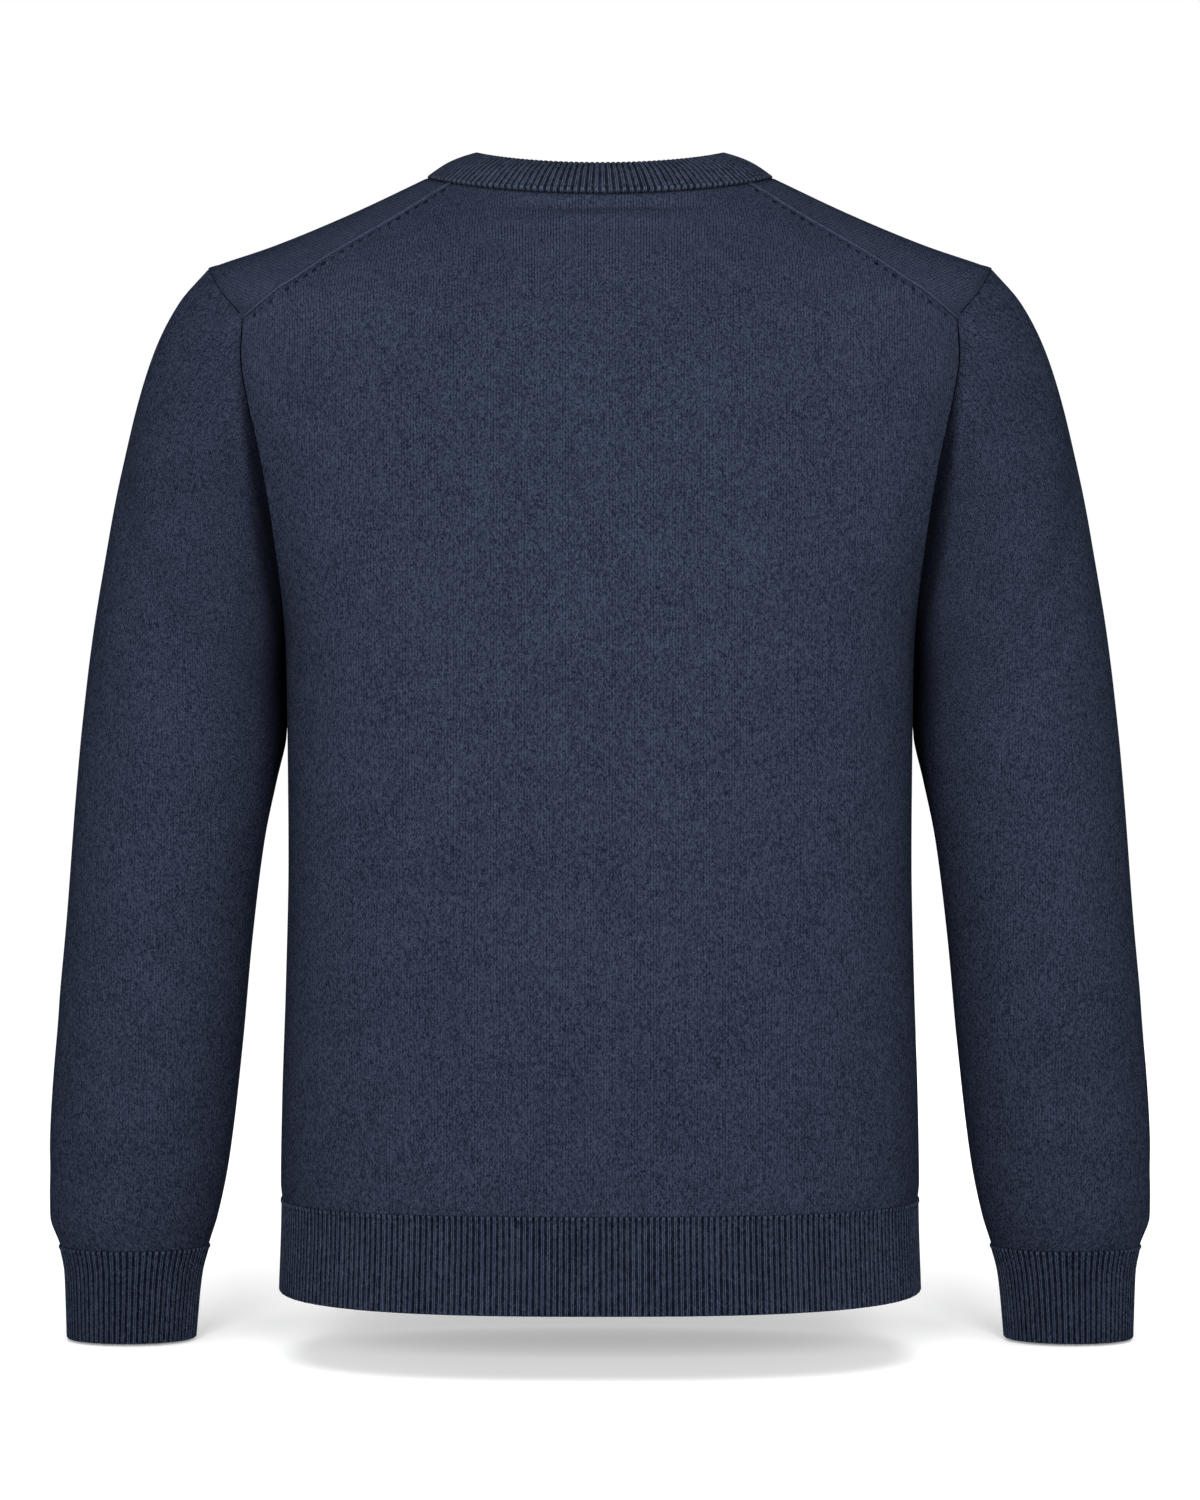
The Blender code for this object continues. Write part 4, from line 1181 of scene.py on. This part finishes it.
@dataclass
class Front(BodyPanel):
    """One front, which also goes over the shoulder to the seam behind it.

    Args:
        side: Which side.
        columns: Steps across.
        start: Where it starts, beside the button band.
        bow: How far its rows bow up over the shoulder tip.
        slant: How far the wales slant behind the shoulder.
        slant_from: What is added to the slanted way across, so that it meets the chest's.
        slant_stretch: How much longer the slanted way up is than its steps back and in.
        clear: How clearly the wales show there, beside elsewhere.
        creases: Its creases.
        steps: Groups of rows below the underarm, up to the tip, up to the corner and up to the neck.
        per_step: Rows in each group.
        at_band: Runs at which the tip's and the corner's rows start, beside the band.
    """

    side: Side = Side.LEFT
    columns: int = 110
    start: float = 0.0161
    bow: float = 0.30
    slant: float = math.radians(28)
    slant_from: float = 0.065
    slant_stretch: float = 1.1
    clear: float = 2.0
    creases: tuple[Crease, ...] = (
        Crease((0.150, 0.470), (0.215, 0.540), 0.018, -0.0020),
        Crease((0.120, 0.410), (0.200, 0.450), 0.020, -0.0016),
        Crease((0.030, 0.620), (0.090, 0.560), 0.018, -0.0012),
        Crease((0.060, 0.100), (0.190, 0.125), 0.022, -0.0014),
        Crease((0.022, 0.250), (0.100, 0.285), 0.022, -0.0012),
        Crease((0.022, 0.420), (0.085, 0.400), 0.018, -0.0010),
    )
    steps: tuple[int, ...] = (8, 10, 2, 5)
    per_step: int = 7
    at_band: tuple[float, float] = (0.655, 0.690)

    def make(self) -> Cloth:
        """Lays rows from the button band to the side seam, the armhole and the shoulder seam."""
        inner, outer, bows = self.edges()
        at = shares(self.columns, 0.006)
        share = np.linspace(0, 1, 500)[:, None]
        place = np.zeros((len(outer), len(at), 2))
        for k, (start, end) in enumerate(zip(inner, outer)):
            line = start * (1 - share) + end * share
            line[:, 1:] += self.bow * bows[k] * share**3 * (1 - share) ** 0.8
            place[k] = self.figure.evenly(line, at, self.gauge.seam)
        node = f"{self.name}_front"
        return self.settle(place, self.across(place), f"{node}_cloth", node, self.side)

    @property
    def name(self) -> str:
        """The side's name."""
        return self.side.name.lower()

    def link(self, lift: Array, place: Array, skin: Array) -> Array:
        """Raises the edge along the seam behind the shoulder."""
        line = finer(self.figure.body(*self.figure.shoulder_seam(0.003).T), 0.0005)
        off = nearest_on(line, skin)[0]
        near = ease(0.0030, 0.0020, off) * (place[..., 0] > 0)
        return lift + near * (self.gauge.seam_bead(off) - lift)

    def seam_marks(self, skin: Array) -> Array:
        """Measures how far the cloth lies from the shoulder seam, as a distance below 0."""
        line = finer(self.figure.body(*self.figure.shoulder_seam().T), 0.0005)
        off = nearest_on(line, skin)[0]
        return np.stack([np.zeros_like(off), -1000 * off, np.ones_like(off)], -1)

    def seams(self, place: Array, skin: Array) -> list[Array]:
        """Gives the armhole, the shoulder seam, the neck seam and the edge at the band."""
        return [*super().seams(place, skin), skin[:, 0]]

    def edges(self) -> tuple[Array, Array, Array]:
        """Gives the edge at the band, the other edge, and how much each row bows over the shoulder tip."""
        figure, seam = self.figure, self.gauge.seam
        low = np.linspace([0, self.hem + seam], [0, figure.underarm], 300)
        parts = (low, figure.before, figure.over[::-1], figure.shoulder_seam(seam))
        runs = (self.hem + seam, figure.underarm, *self.at_band, figure.neck_seam - seam)
        knots = np.cumsum([0, *self.steps])
        even = np.arange(0, knots[-1] * self.per_step + 1) / self.per_step
        at = np.union1d(even, [0.02, 0.05, knots[-1] - 0.05, knots[-1] - 0.02])
        outer = np.zeros((len(at), 2))
        for part, low_knot, high_knot in zip(parts, knots[:-1], knots[1:]):
            inside = (at >= low_knot) & (at <= high_knot)
            outer[inside] = figure.evenly(part, (at[inside] - low_knot) / (high_knot - low_knot))
        run = np.interp(at, knots, runs)
        inner = np.stack([figure.angle_at(self.start, run, True), run], 1)
        return inner, outer, np.clip(1 - np.abs(at - knots[3]) / 3, 0, 1) ** 1.5

    def across(self, place: Array) -> Array:
        """Gives the way round from the centre front. Behind the shoulder the wales slant in."""
        skin = self.figure.body(place[..., 0], place[..., 1])
        slanted = skin[..., 0] * math.sin(self.slant) - skin[..., 2] * math.cos(self.slant) + self.slant_from
        behind = self.behind(place)
        return (way_along(skin) + skin[:, :1, 0]) * (1 - behind) + slanted * behind

    def courses(self, place: Array, skin: Array) -> Array:
        """Gives the way up the wales: up the chest and over the shoulder, then slanting."""
        up = way_along(np.swapaxes(skin, 0, 1)).T + self.hem
        down_in = skin[..., 0] * math.cos(self.slant) + skin[..., 2] * math.sin(self.slant)
        slanted = self.slant_stretch * (skin[..., 1] - down_in)
        behind = self.behind(place)
        level = np.average(up - slanted, weights=behind * (1 - behind))
        return up * (1 - behind) + (slanted + level) * behind

    def behind(self, place: Array) -> Array:
        """Gives how far behind the shoulder places lie, from 0 to 1."""
        return ease(-0.2, 0.35, place[..., 0]) * ease(0.54, 0.60, place[..., 1])


@dataclass
class Sleeve:
    """A sleeve of plain knit from the armhole to the cuff.

    Args:
        side: Which arm.
        rows: Steps down it, below the cap.
        columns: Steps round it.
        cuff: Where the cuff's ribs start.
        creases: Its creases, round from its outer line in metres and down from the armhole.
        seam_dip: Depth of the line along its underarm seam.
        seam_wide: Half that line's width.
        figure: The skins it lies on.
        gauge: Sizes of the knit.
    """

    side: Side
    rows: int = 165
    columns: int = 144
    cuff: float = 0.607
    creases: tuple[Crease, ...] = (
        Crease((0.020, 0.125), (0.150, 0.215), 0.026, -0.0022),
        Crease((0.060, 0.205), (0.150, 0.250), 0.020, -0.0016),
        Crease((-0.150, 0.200), (-0.050, 0.120), 0.024, -0.0022),
        Crease((-0.110, 0.300), (-0.010, 0.275), 0.022, -0.0020),
        Crease((-0.120, 0.345), (-0.040, 0.330), 0.020, -0.0018),
        Crease((0.090, 0.330), (0.170, 0.290), 0.020, -0.0016),
        Crease((0.010, 0.470), (0.110, 0.500), 0.022, -0.0013),
        Crease((-0.090, 0.540), (0.000, 0.560), 0.016, -0.0014),
        Crease((0.040, 0.565), (0.120, 0.548), 0.014, -0.0015),
    )
    seam_dip: float = 0.0006
    seam_wide: float = 0.0012
    figure: Figure = field(default_factory=lambda: FIGURE)
    gauge: Gauge = field(default_factory=lambda: GAUGE)

    def make(self) -> Cloth:
        """Lays rings of cloth down the sleeve, with the first on the armhole's seam."""
        turns = self.turns()[None, :]
        edge = self.gauge.seam + np.array([0.0, 0.00025, 0.0005, 0.0009, 0.0015])
        cap = np.arange(0.0022, 0.0595, 0.0011)
        even = np.linspace(0.060, self.cuff - self.gauge.seam, self.rows + 1)
        end = even[-1] - np.array([0.0012, 0.0006, 0.0])
        down = np.concatenate([edge, cap, even[:-1], end])[:, None]
        skin, normals = self.figure.sleeve(turns, down), self.figure.sleeve_normals(turns, down)
        down_here = way_along(skin.swapaxes(0, 1)).swapaxes(0, 1)
        girth = way_along(np.concatenate([skin, skin[:, :1]], 1))
        across = girth - girth[:, -1:] * (np.append(turns[0], 1.0) > 0.5)
        lift = self.gauge.seam_roll(down_here, self.gauge.tuck)
        lift = np.minimum(lift, self.gauge.seam_roll(down_here[-1:] - down_here, self.gauge.linked))
        from_seam = (turns - 0.5) * girth[:, -1:]
        lift = lift - self.seam_dip * np.exp(-((from_seam / self.seam_wide) ** 2))
        for crease in self.creases:
            lift = lift + crease.lift(across[:, :-1], down) * ease(0.02, 0.08, down)
        right = skin + normals * lift[..., None]
        wrong = skin + normals * (lift - self.gauge.wall)[..., None]
        uv = np.stack(np.broadcast_arrays(across / self.gauge.wale, -down / self.gauge.course), -1)
        node = f"{self.side.name.lower()}_sleeve"
        sides = mirror(right, self.side), mirror(wrong, self.side)
        # Painted shade in the gap beside the body.
        return Cloth(f"{node}_cloth", node, *sides, uv, tube=True, shade_and_clear=self.painted_shade(turns, skin)[..., None])

    def turns(self) -> Array:
        """Gives the ways round: even steps, with finer ones at the corner of the armhole."""
        even = np.arange(self.columns) / self.columns
        corner = self.figure.tip_to_corner
        even = even[(np.abs(even - corner) > 0.006) & (np.abs(even - 0.5) > 0.004) & (even < 0.996)]
        return np.union1d(even, [0.0, 0.997, corner - 0.003, corner, corner + 0.003, 0.497, 0.5, 0.503])

    def painted_shade(self, turns: Array, skin: Array) -> Array:
        """Gives the painted shade in the gap beside the body, from the sleeve's distance to the body's side.
        """
        angle, run = np.meshgrid(np.linspace(-1.4, 1.4, 140), np.linspace(0.20, 0.60, 130))
        off = nearest_on(self.figure.body(angle, run).reshape(-1, 3), skin)[0]
        from_tip = 0.5 - np.abs(turns - 0.5)
        reach = 0.006 + 0.016 * ease(0.15, 0.42, from_tip)
        return (1 - ease(0.002, 1.0, off / reach)) * ease(0.09, 0.20, from_tip)


# Places across one rib, as shares of it.
RIB_STEPS = np.array([0.0, 0.07, 0.17, 0.32, 0.5, 0.68, 0.83, 0.93])


def rib_phases(ribs: int) -> Array:
    """Gives the places across a number of ribs, in ribs, finer at the grooves."""
    return np.append((np.arange(ribs)[:, None] + RIB_STEPS).ravel(), ribs)


@dataclass
class RibEnds:
    """How ribs look where they start at a seam and where they end at an edge.

    Args:
        proud: How far the ribs stand out by the seam.
        bead: Height of the small loop at the start of each rib.
        start: How far the ribs round in at the seam.
        lip: How far the free edge rounds in.
    """

    proud: float = 0.0
    bead: float = 0.00035
    start: float = 0.00015
    lip: float = 0.0009

    def lift(self, from_seam: Array, from_edge: Array, ridge: Array) -> Array:
        """Works out the height that the ends add to the ribs.

        Each ridge has a bell-shaped loop by the seam, with a dip behind it, and both ends round in.
        """
        loop = np.exp(-(((from_seam - 0.0013) / 0.0009) ** 2)) * (2 * ridge - 0.9)
        dip = np.exp(-(((from_seam - 0.0034) / 0.0010) ** 2))
        out = self.proud * (1 - ease(0.002, 0.010, from_seam)) + self.bead * (loop - 0.3 * dip)
        for depth, width, distance in ((self.start, 0.0008, from_seam), (self.lip, 0.0012, from_edge)):
            share = np.clip(distance / width, 0, 1)
            out = out - depth * (1 - np.sqrt(1 - (1 - share) ** 2))
        return out


def rib_rows(length: float, rows: int) -> Array:
    """Gives distances from a free edge up to a seam, finer at both."""
    low = np.array([0.0, 0.00025, 0.0006, 0.0012, 0.0022])
    high = length - np.array([0.0056, 0.0046, 0.0038, 0.0030, 0.0023, 0.0017, 0.0012, 0.0007, 0.0003, 0.0])
    return np.concatenate([low, np.linspace(0.0022, length - 0.0056, rows + 1)[1:-1], high])


def rib_seam(phases: Array, from_seam: Array) -> Array:
    """Gives the attribute "seam" of ribs: rib number, distance from the seam in millimetres and 1."""
    return np.stack(np.broadcast_arrays(phases[None, :], from_seam * 1000, 1.0), -1)


@dataclass
class HemRib:
    """The ribbed hem of the back or of a front.

    Args:
        node: The solid it stands for.
        ribs: Number of ribs.
        side: Which side, for a front.
        whole_back: Whether it is the back's.
        start: Where a front's hem starts, beside the button band.
        past: How far the back's hem goes past the side seams, as an angle.
        height: Height of the hem.
        rows: Steps up it between its finer ends.
        uneven: How far single ribs stand out.
        figure: The skins it lies on.
        gauge: Sizes of the knit.
        ends: How its ribs start and end.
    """

    node: str
    ribs: int
    side: Side = Side.LEFT
    whole_back: bool = False
    start: float = 0.01595
    past: float = 0.0011
    height: float = 0.055
    rows: int = 10
    uneven: float = 0.00012
    figure: Figure = field(default_factory=lambda: FIGURE)
    gauge: Gauge = field(default_factory=lambda: GAUGE)
    ends: RibEnds = field(default_factory=RibEnds)

    def make(self) -> Cloth:
        """Lays upright ribs round the hem."""
        phases = rib_phases(self.ribs)
        runs = rib_rows(self.height - self.gauge.seam, self.rows)
        angles = []
        for run in (0.0, self.height):
            if self.whole_back:
                ends = (-self.past, math.pi + self.past)
            else:
                ends = (float(self.figure.angle_at(self.start, np.float64(run), True)), 0.0)
            line = np.stack([np.linspace(*ends, 900), np.full(900, run)], 1)
            angles.append(self.figure.evenly(line, phases / self.ribs, self.gauge.seam)[:, 0])
        share = (runs / self.height)[:, None]
        angle = angles[0] * (1 - share) + angles[1] * share
        run = np.broadcast_to(runs[:, None], angle.shape)
        skin, normals = self.figure.body(angle, run), self.figure.body_normals(angle, run)
        ridge = self.gauge.rib(phases)[None, :]
        uneven = self.uneven * np.sin(phases * 1.7 + 0.9 * np.sin(phases * 0.31))[None, :]
        from_seam = self.height - self.gauge.seam - run
        lift = ridge + uneven + self.ends.lift(from_seam, run, ridge / self.gauge.relief)
        right = skin + normals * lift[..., None]
        lip = 0.3 * self.ends.lip * (run < 0.0004)
        wrong = skin + normals * (-self.gauge.rib_wall - lip)[..., None]
        uv = np.stack(np.broadcast_arrays(phases[None, :], run / self.gauge.course), -1)
        sides = mirror(right, self.side), mirror(wrong, self.side)
        seam = rib_seam(phases, self.height - run)
        return Cloth(f"{self.node}_cloth", self.node, *sides, uv, skip=(6, 16), seam=seam)


@dataclass
class CuffRib:
    """The ribbed cuff of a sleeve.

    Args:
        side: Which arm.
        ribs: Number of ribs.
        top: Where it starts, down the sleeve.
        rows: Steps down it between its finer ends.
        uneven: How far single ribs stand out.
        figure: The skins it lies on.
        gauge: Sizes of the knit.
        ends: How its ribs start and end.
    """

    side: Side
    ribs: int = 72
    top: float = 0.607
    rows: int = 10
    uneven: float = 0.00012
    figure: Figure = field(default_factory=lambda: FIGURE)
    gauge: Gauge = field(default_factory=lambda: GAUGE)
    ends: RibEnds = field(default_factory=RibEnds)

    def make(self) -> Cloth:
        """Lays ribs down the cuff."""
        phases = rib_phases(self.ribs)
        length = self.figure.sleeve_end - self.top - self.gauge.seam
        from_edge = rib_rows(length, self.rows)[:, None]
        turns = phases[None, :-1] / self.ribs
        down = np.broadcast_to(self.figure.sleeve_end - from_edge, (len(from_edge), len(phases) - 1))
        skin, normals = self.figure.sleeve(turns, down), self.figure.sleeve_normals(turns, down)
        ridge = self.gauge.rib(phases[None, :-1])
        uneven = self.uneven * np.sin(phases[:-1] * 1.9 + 0.8 * np.sin(phases[:-1] * 0.37))[None, :]
        lift = ridge + uneven + self.ends.lift(length - from_edge, from_edge, ridge / self.gauge.relief)
        right = skin + normals * lift[..., None]
        wrong = skin - normals * self.gauge.rib_wall
        uv = np.stack(np.broadcast_arrays(phases[None, :], from_edge / self.gauge.course), -1)
        node = f"{self.side.name.lower()}_cuff"
        sides = mirror(right, self.side), mirror(wrong, self.side)
        seam = rib_seam(phases[:-1], length - from_edge)
        return Cloth(f"{node}_cloth", node, *sides, uv, tube=True, skip=(6, 16), seam=seam)


@dataclass
class NeckRib:
    """The ribbed neckband, from one button band round to the other.

    Args:
        ribs: Number of ribs.
        rows: Steps up it between its finer ends.
        start: Where it starts, beside the button band.
        gap: What is left free above the neck seam.
        raised: How far the grooves stand out over the skin.
        side_relief: Share of the relief that is left at the sides, where the ribs are pressed flat.
        figure: The skins it lies on.
        gauge: Sizes of the knit.
        ends: How its ribs start and end.
    """

    ribs: int = 148
    rows: int = 8
    start: float = 0.0162
    gap: float = 0.0003
    raised: float = 0.0002
    side_relief: float = 0.25
    figure: Figure = field(default_factory=lambda: FIGURE)
    gauge: Gauge = field(default_factory=lambda: GAUGE)
    ends: RibEnds = field(default_factory=lambda: RibEnds(0.0010, 0.0006, 0.0012))

    def make(self) -> Cloth:
        """Lays ribs up the band, evenly round its lower and its upper edge."""
        phases = rib_phases(self.ribs)
        width = self.figure.band_rise
        from_edge = rib_rows(width - self.gap, self.rows)
        rises = 1 - from_edge / width
        angle = np.zeros((len(rises), len(phases)))
        for k, rise in enumerate(rises):
            start = float(self.figure.neck_angle_at(self.start, rise))
            dense = np.linspace(start, math.pi - start, 1500)
            way = way_along(self.figure.neck(dense, np.full(1500, rise)))
            angle[k] = np.interp(phases / self.ribs * way[-1], way, dense)
        rise = np.broadcast_to(rises[:, None], angle.shape)
        skin, normals = self.figure.neck(angle, rise), self.figure.neck_normals(angle, rise)
        ridge = self.gauge.rib(phases)[None, :]
        from_seam = (width - self.gap - from_edge)[:, None]
        lift = ridge + self.ends.lift(from_seam, from_edge[:, None], ridge / self.gauge.relief)
        lift = lift * (self.side_relief + (1 - self.side_relief) * np.sin(angle) ** 2)
        right = skin + normals * (lift + self.raised)[..., None]
        wrong = skin - normals * self.gauge.rib_wall
        uv = np.stack(np.broadcast_arrays(phases[None, :], from_edge[:, None] / self.gauge.course), -1)
        seam = rib_seam(phases, width - from_edge[:, None])
        return Cloth("neckband_cloth", "neckband", right, wrong, uv, skip=(5, 16), seam=seam)


@dataclass
class Band:
    """One of the two bands down the front, ribbed along its length.

    Args:
        node: The solid it stands for.
        base: Height of its wrong side over the skin.
        wall: Its thickness.
        ribs: Number of ribs across it.
        half: Half its width.
        rows: Steps up it.
        round_in: How far its ends round in.
        relief: Height of its ribs beside those of the hem.
        figure: The skins it lies on.
        gauge: Sizes of the knit.
    """

    node: str
    base: float
    wall: float = 0.0020
    ribs: int = 8
    half: float = 0.0159
    rows: int = 170
    round_in: float = 0.0006
    relief: float = 0.75
    figure: Figure = field(default_factory=lambda: FIGURE)
    gauge: Gauge = field(default_factory=lambda: GAUGE)

    def make(self) -> Cloth:
        """Lays ribs up the front from the hem's edge to the neckband's upper edge."""
        phases = rib_phases(self.ribs)
        x = (phases / self.ribs * 2 - 1)[None, :] * self.half
        end = self.figure.neck_seam + self.figure.band_rise
        way = shares(self.rows, 0.002)[:, None] * end
        skin, normals = self.figure.front_line(*np.broadcast_arrays(x, way))
        from_edge = np.minimum(way, end - way)
        share = np.clip(from_edge / 0.0012, 0, 1)
        rounding = self.round_in * (1 - np.sqrt(1 - (1 - share) ** 2))
        lift = self.base + self.wall + self.relief * self.gauge.rib(phases)[None, :] - rounding
        right = skin + normals * lift[..., None]
        wrong = skin + normals * self.base
        uv = np.stack(np.broadcast_arrays(phases[None, :], way / self.gauge.course), -1)
        return Cloth(f"{self.node}_cloth", self.node, right, wrong, uv, skip=(4, 8))


@dataclass(frozen=True)
class Lamp:
    """A square soft lamp.

    Args:
        name: Its name.
        place: Where it hangs.
        aim: The point it is aimed at.
        size: Width of its square.
        power: Its power in watts.
        spread: Angle of its beam, in degrees.
    """

    name: str
    place: tuple[float, float, float]
    aim: tuple[float, float, float]
    size: float
    power: float
    spread: float

    def hang(self) -> None:
        """Hangs the lamp, out of the camera's sight."""
        data = bpy.data.lights.new(self.name, "AREA")
        data.size = self.size
        data.energy = self.power
        data.spread = math.radians(self.spread)
        made = bpy.data.objects.new(self.name, data)
        made.location = self.place
        made.visible_camera = False
        back = np.array(self.place) - np.array(self.aim)
        made.rotation_euler = (math.acos(back[2] / np.linalg.norm(back)), 0, math.atan2(back[0], -back[1]))
        bpy.context.scene.collection.objects.link(made)


@dataclass
class Studio:
    """The camera, the floor and the light.

    Args:
        eye: The camera's place.
        lens: Its focal length in millimetres.
        floor: Height of the floor.
        reach: How far the floor reaches to each side.
        sky: Strength of the even light from all round.
        top: Strength of the light from above.
        top_spread: Angle over which that light is spread, in degrees.
        top_lean: How far it leans, in degrees, so that it comes a little from behind the wearer.
        lamps: The lamps.
    """

    eye: tuple[float, float, float] = (0.0, 2.5, -0.343)
    lens: float = 100.0
    floor: float = -0.7055
    reach: float = 30.0
    sky: float = 0.45
    top: float = 1.7
    top_spread: float = 40.0
    top_lean: float = -25.0
    lamps: tuple[Lamp, ...] = (
        Lamp("left_key", (0.62, 2.85, 0.0), (0.20, 0.1, -0.02), 0.7, 13.4, 59.0),
        Lamp("right_key", (-0.62, 2.85, 0.0), (-0.20, 0.1, -0.02), 0.7, 12.6, 59.0),
        Lamp("front_key", (-0.5, -2.9, -0.38), (0.0, -0.1, -0.25), 0.6, 10.0, 58.0),
    )

    def camera(self) -> None:
        """Sets the camera level behind the cardigan, at the photograph's angle."""
        data = bpy.data.cameras.new("camera")
        data.lens = self.lens
        data.sensor_width = 36.0
        data.dof.use_dof = False
        made = bpy.data.objects.new("camera", data)
        made.location = self.eye
        made.rotation_euler = (math.pi / 2, 0, math.pi)
        bpy.context.scene.collection.objects.link(made)
        bpy.context.scene.camera = made

    def ground(self) -> None:
        """Lays the floor."""
        signs = ((-1, -1), (1, -1), (1, 1), (-1, 1))
        corners = [(x * self.reach, y * self.reach, self.floor) for x, y in signs]
        mesh = bpy.data.meshes.new("studio_floor")
        mesh.from_pydata(corners, [], [(0, 1, 2, 3)])
        made = bpy.data.objects.new("studio_floor", mesh)
        bpy.context.scene.collection.objects.link(made)
        mesh.materials.append(Floor().dress())

    def surround(self) -> None:
        """Sets the even light from all round, and the white that the camera sees behind the cardigan."""
        world = bpy.data.worlds.new("studio")
        world.use_nodes = True
        bpy.context.scene.world = world
        graph = Graph(world.node_tree)
        even = world.node_tree.nodes["Background"]
        even.inputs["Color"].default_value = (1.0, 1.0, 1.0, 1.0)
        even.inputs["Strength"].default_value = self.sky
        white = graph.add("ShaderNodeBackground", Color=(1.0, 1.0, 1.0, 1.0), Strength=1.0)
        either = graph.add("ShaderNodeMixShader")
        seen = graph.add("ShaderNodeLightPath").outputs["Is Camera Ray"]
        for socket, value in zip(either.inputs, (seen, even.outputs[0], white.outputs[0])):
            graph.put(socket, value)
        graph.put(world.node_tree.nodes["World Output"].inputs["Surface"], either.outputs[0])

    def sun(self) -> None:
        """Hangs the soft light from above."""
        data = bpy.data.lights.new("top", "SUN")
        data.angle = math.radians(self.top_spread)
        data.energy = self.top
        made = bpy.data.objects.new("top", data)
        made.rotation_euler = (math.radians(self.top_lean), 0, 0)
        bpy.context.scene.collection.objects.link(made)

    def set_up(self) -> None:
        """Builds the whole studio."""
        self.camera()
        self.ground()
        self.surround()
        for lamp in self.lamps:
            lamp.hang()
        self.sun()
        view = bpy.context.scene.view_settings
        view.view_transform = "Standard"
        view.look = "None"


# Darkest and palest fibres of the plain knit, the ribs and the neckband's ribs.
PLAIN_COLOURS = ((0.0028, 0.0042, 0.0087), (0.0278, 0.0343, 0.0560))
RIB_COLOURS = ((0.0017, 0.0024, 0.0044), (0.0312, 0.0410, 0.0675))
NECK_COLOURS = ((0.0032, 0.0042, 0.0070), (0.0345, 0.0440, 0.0690))


@dataclass
class Cardigan:
    """All pieces of the cardigan.

    Args:
        plain: Yarn of the body and the sleeves.
        rib: The same yarn in the ribs of the hem, the cuffs and the bands.
        neck: The same yarn in the neckband's ribs, which lie a little more open.
        horn: The buttons' finish.
        buttons: Number of buttons.
    """

    plain: Yarn = Yarn("plain_knit", Stitch.PLAIN, *PLAIN_COLOURS)
    rib: Yarn = Yarn("rib_knit", Stitch.RIB, *RIB_COLOURS, heather=0.28)
    neck: Yarn = Yarn("neck_rib_knit", Stitch.RIB, *NECK_COLOURS, heather=0.30, groove=1.1)
    horn: Horn = Horn()
    buttons: int = 7

    def build(self) -> None:
        """Builds the pieces in a maker's order."""
        plain, rib, neck = self.plain.dress(), self.rib.dress(), self.neck.dress()
        Back().make().build(plain, "knit", (0.56, 0.64))
        HemRib("back_hem", 152, whole_back=True).make().build(rib, "rib", (0.54, 0.057))
        for side in Side:
            name = side.name.lower()
            Front(side=side).make().build(plain, "knit", (0.32, 0.66))
            HemRib(f"{name}_front_hem", 72, side).make().build(rib, "rib", (0.27, 0.057))
            Sleeve(side).make().build(plain, "knit", (0.42, 0.63))
            CuffRib(side).make().build(rib, "rib", (0.24, 0.058))
        NeckRib().make().build(neck, "rib", (0.46, 0.031))
        Band("buttonhole_band", 0.0003).make().build(rib, "rib", (0.032, 0.80))
        Band("button_band", -0.0023, wall=0.0014).make().build(rib, "rib", (0.032, 0.80))
        self.fasten()

    def fasten(self) -> None:
        """Gives the buttons their finish."""
        finish = self.horn.dress()
        for node in [f"button_{k + 1}" for k in range(self.buttons)]:
            for slot in bpy.data.objects[node].material_slots:
                slot.material = finish
            LOG.info("%s: dressed", node)


def main() -> None:
    """Loads the frame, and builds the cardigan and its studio."""
    logging.basicConfig(level=logging.INFO, format="%(message)s")
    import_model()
    Studio().set_up()
    Cardigan().build()


if __name__ == "__main__":
    main()
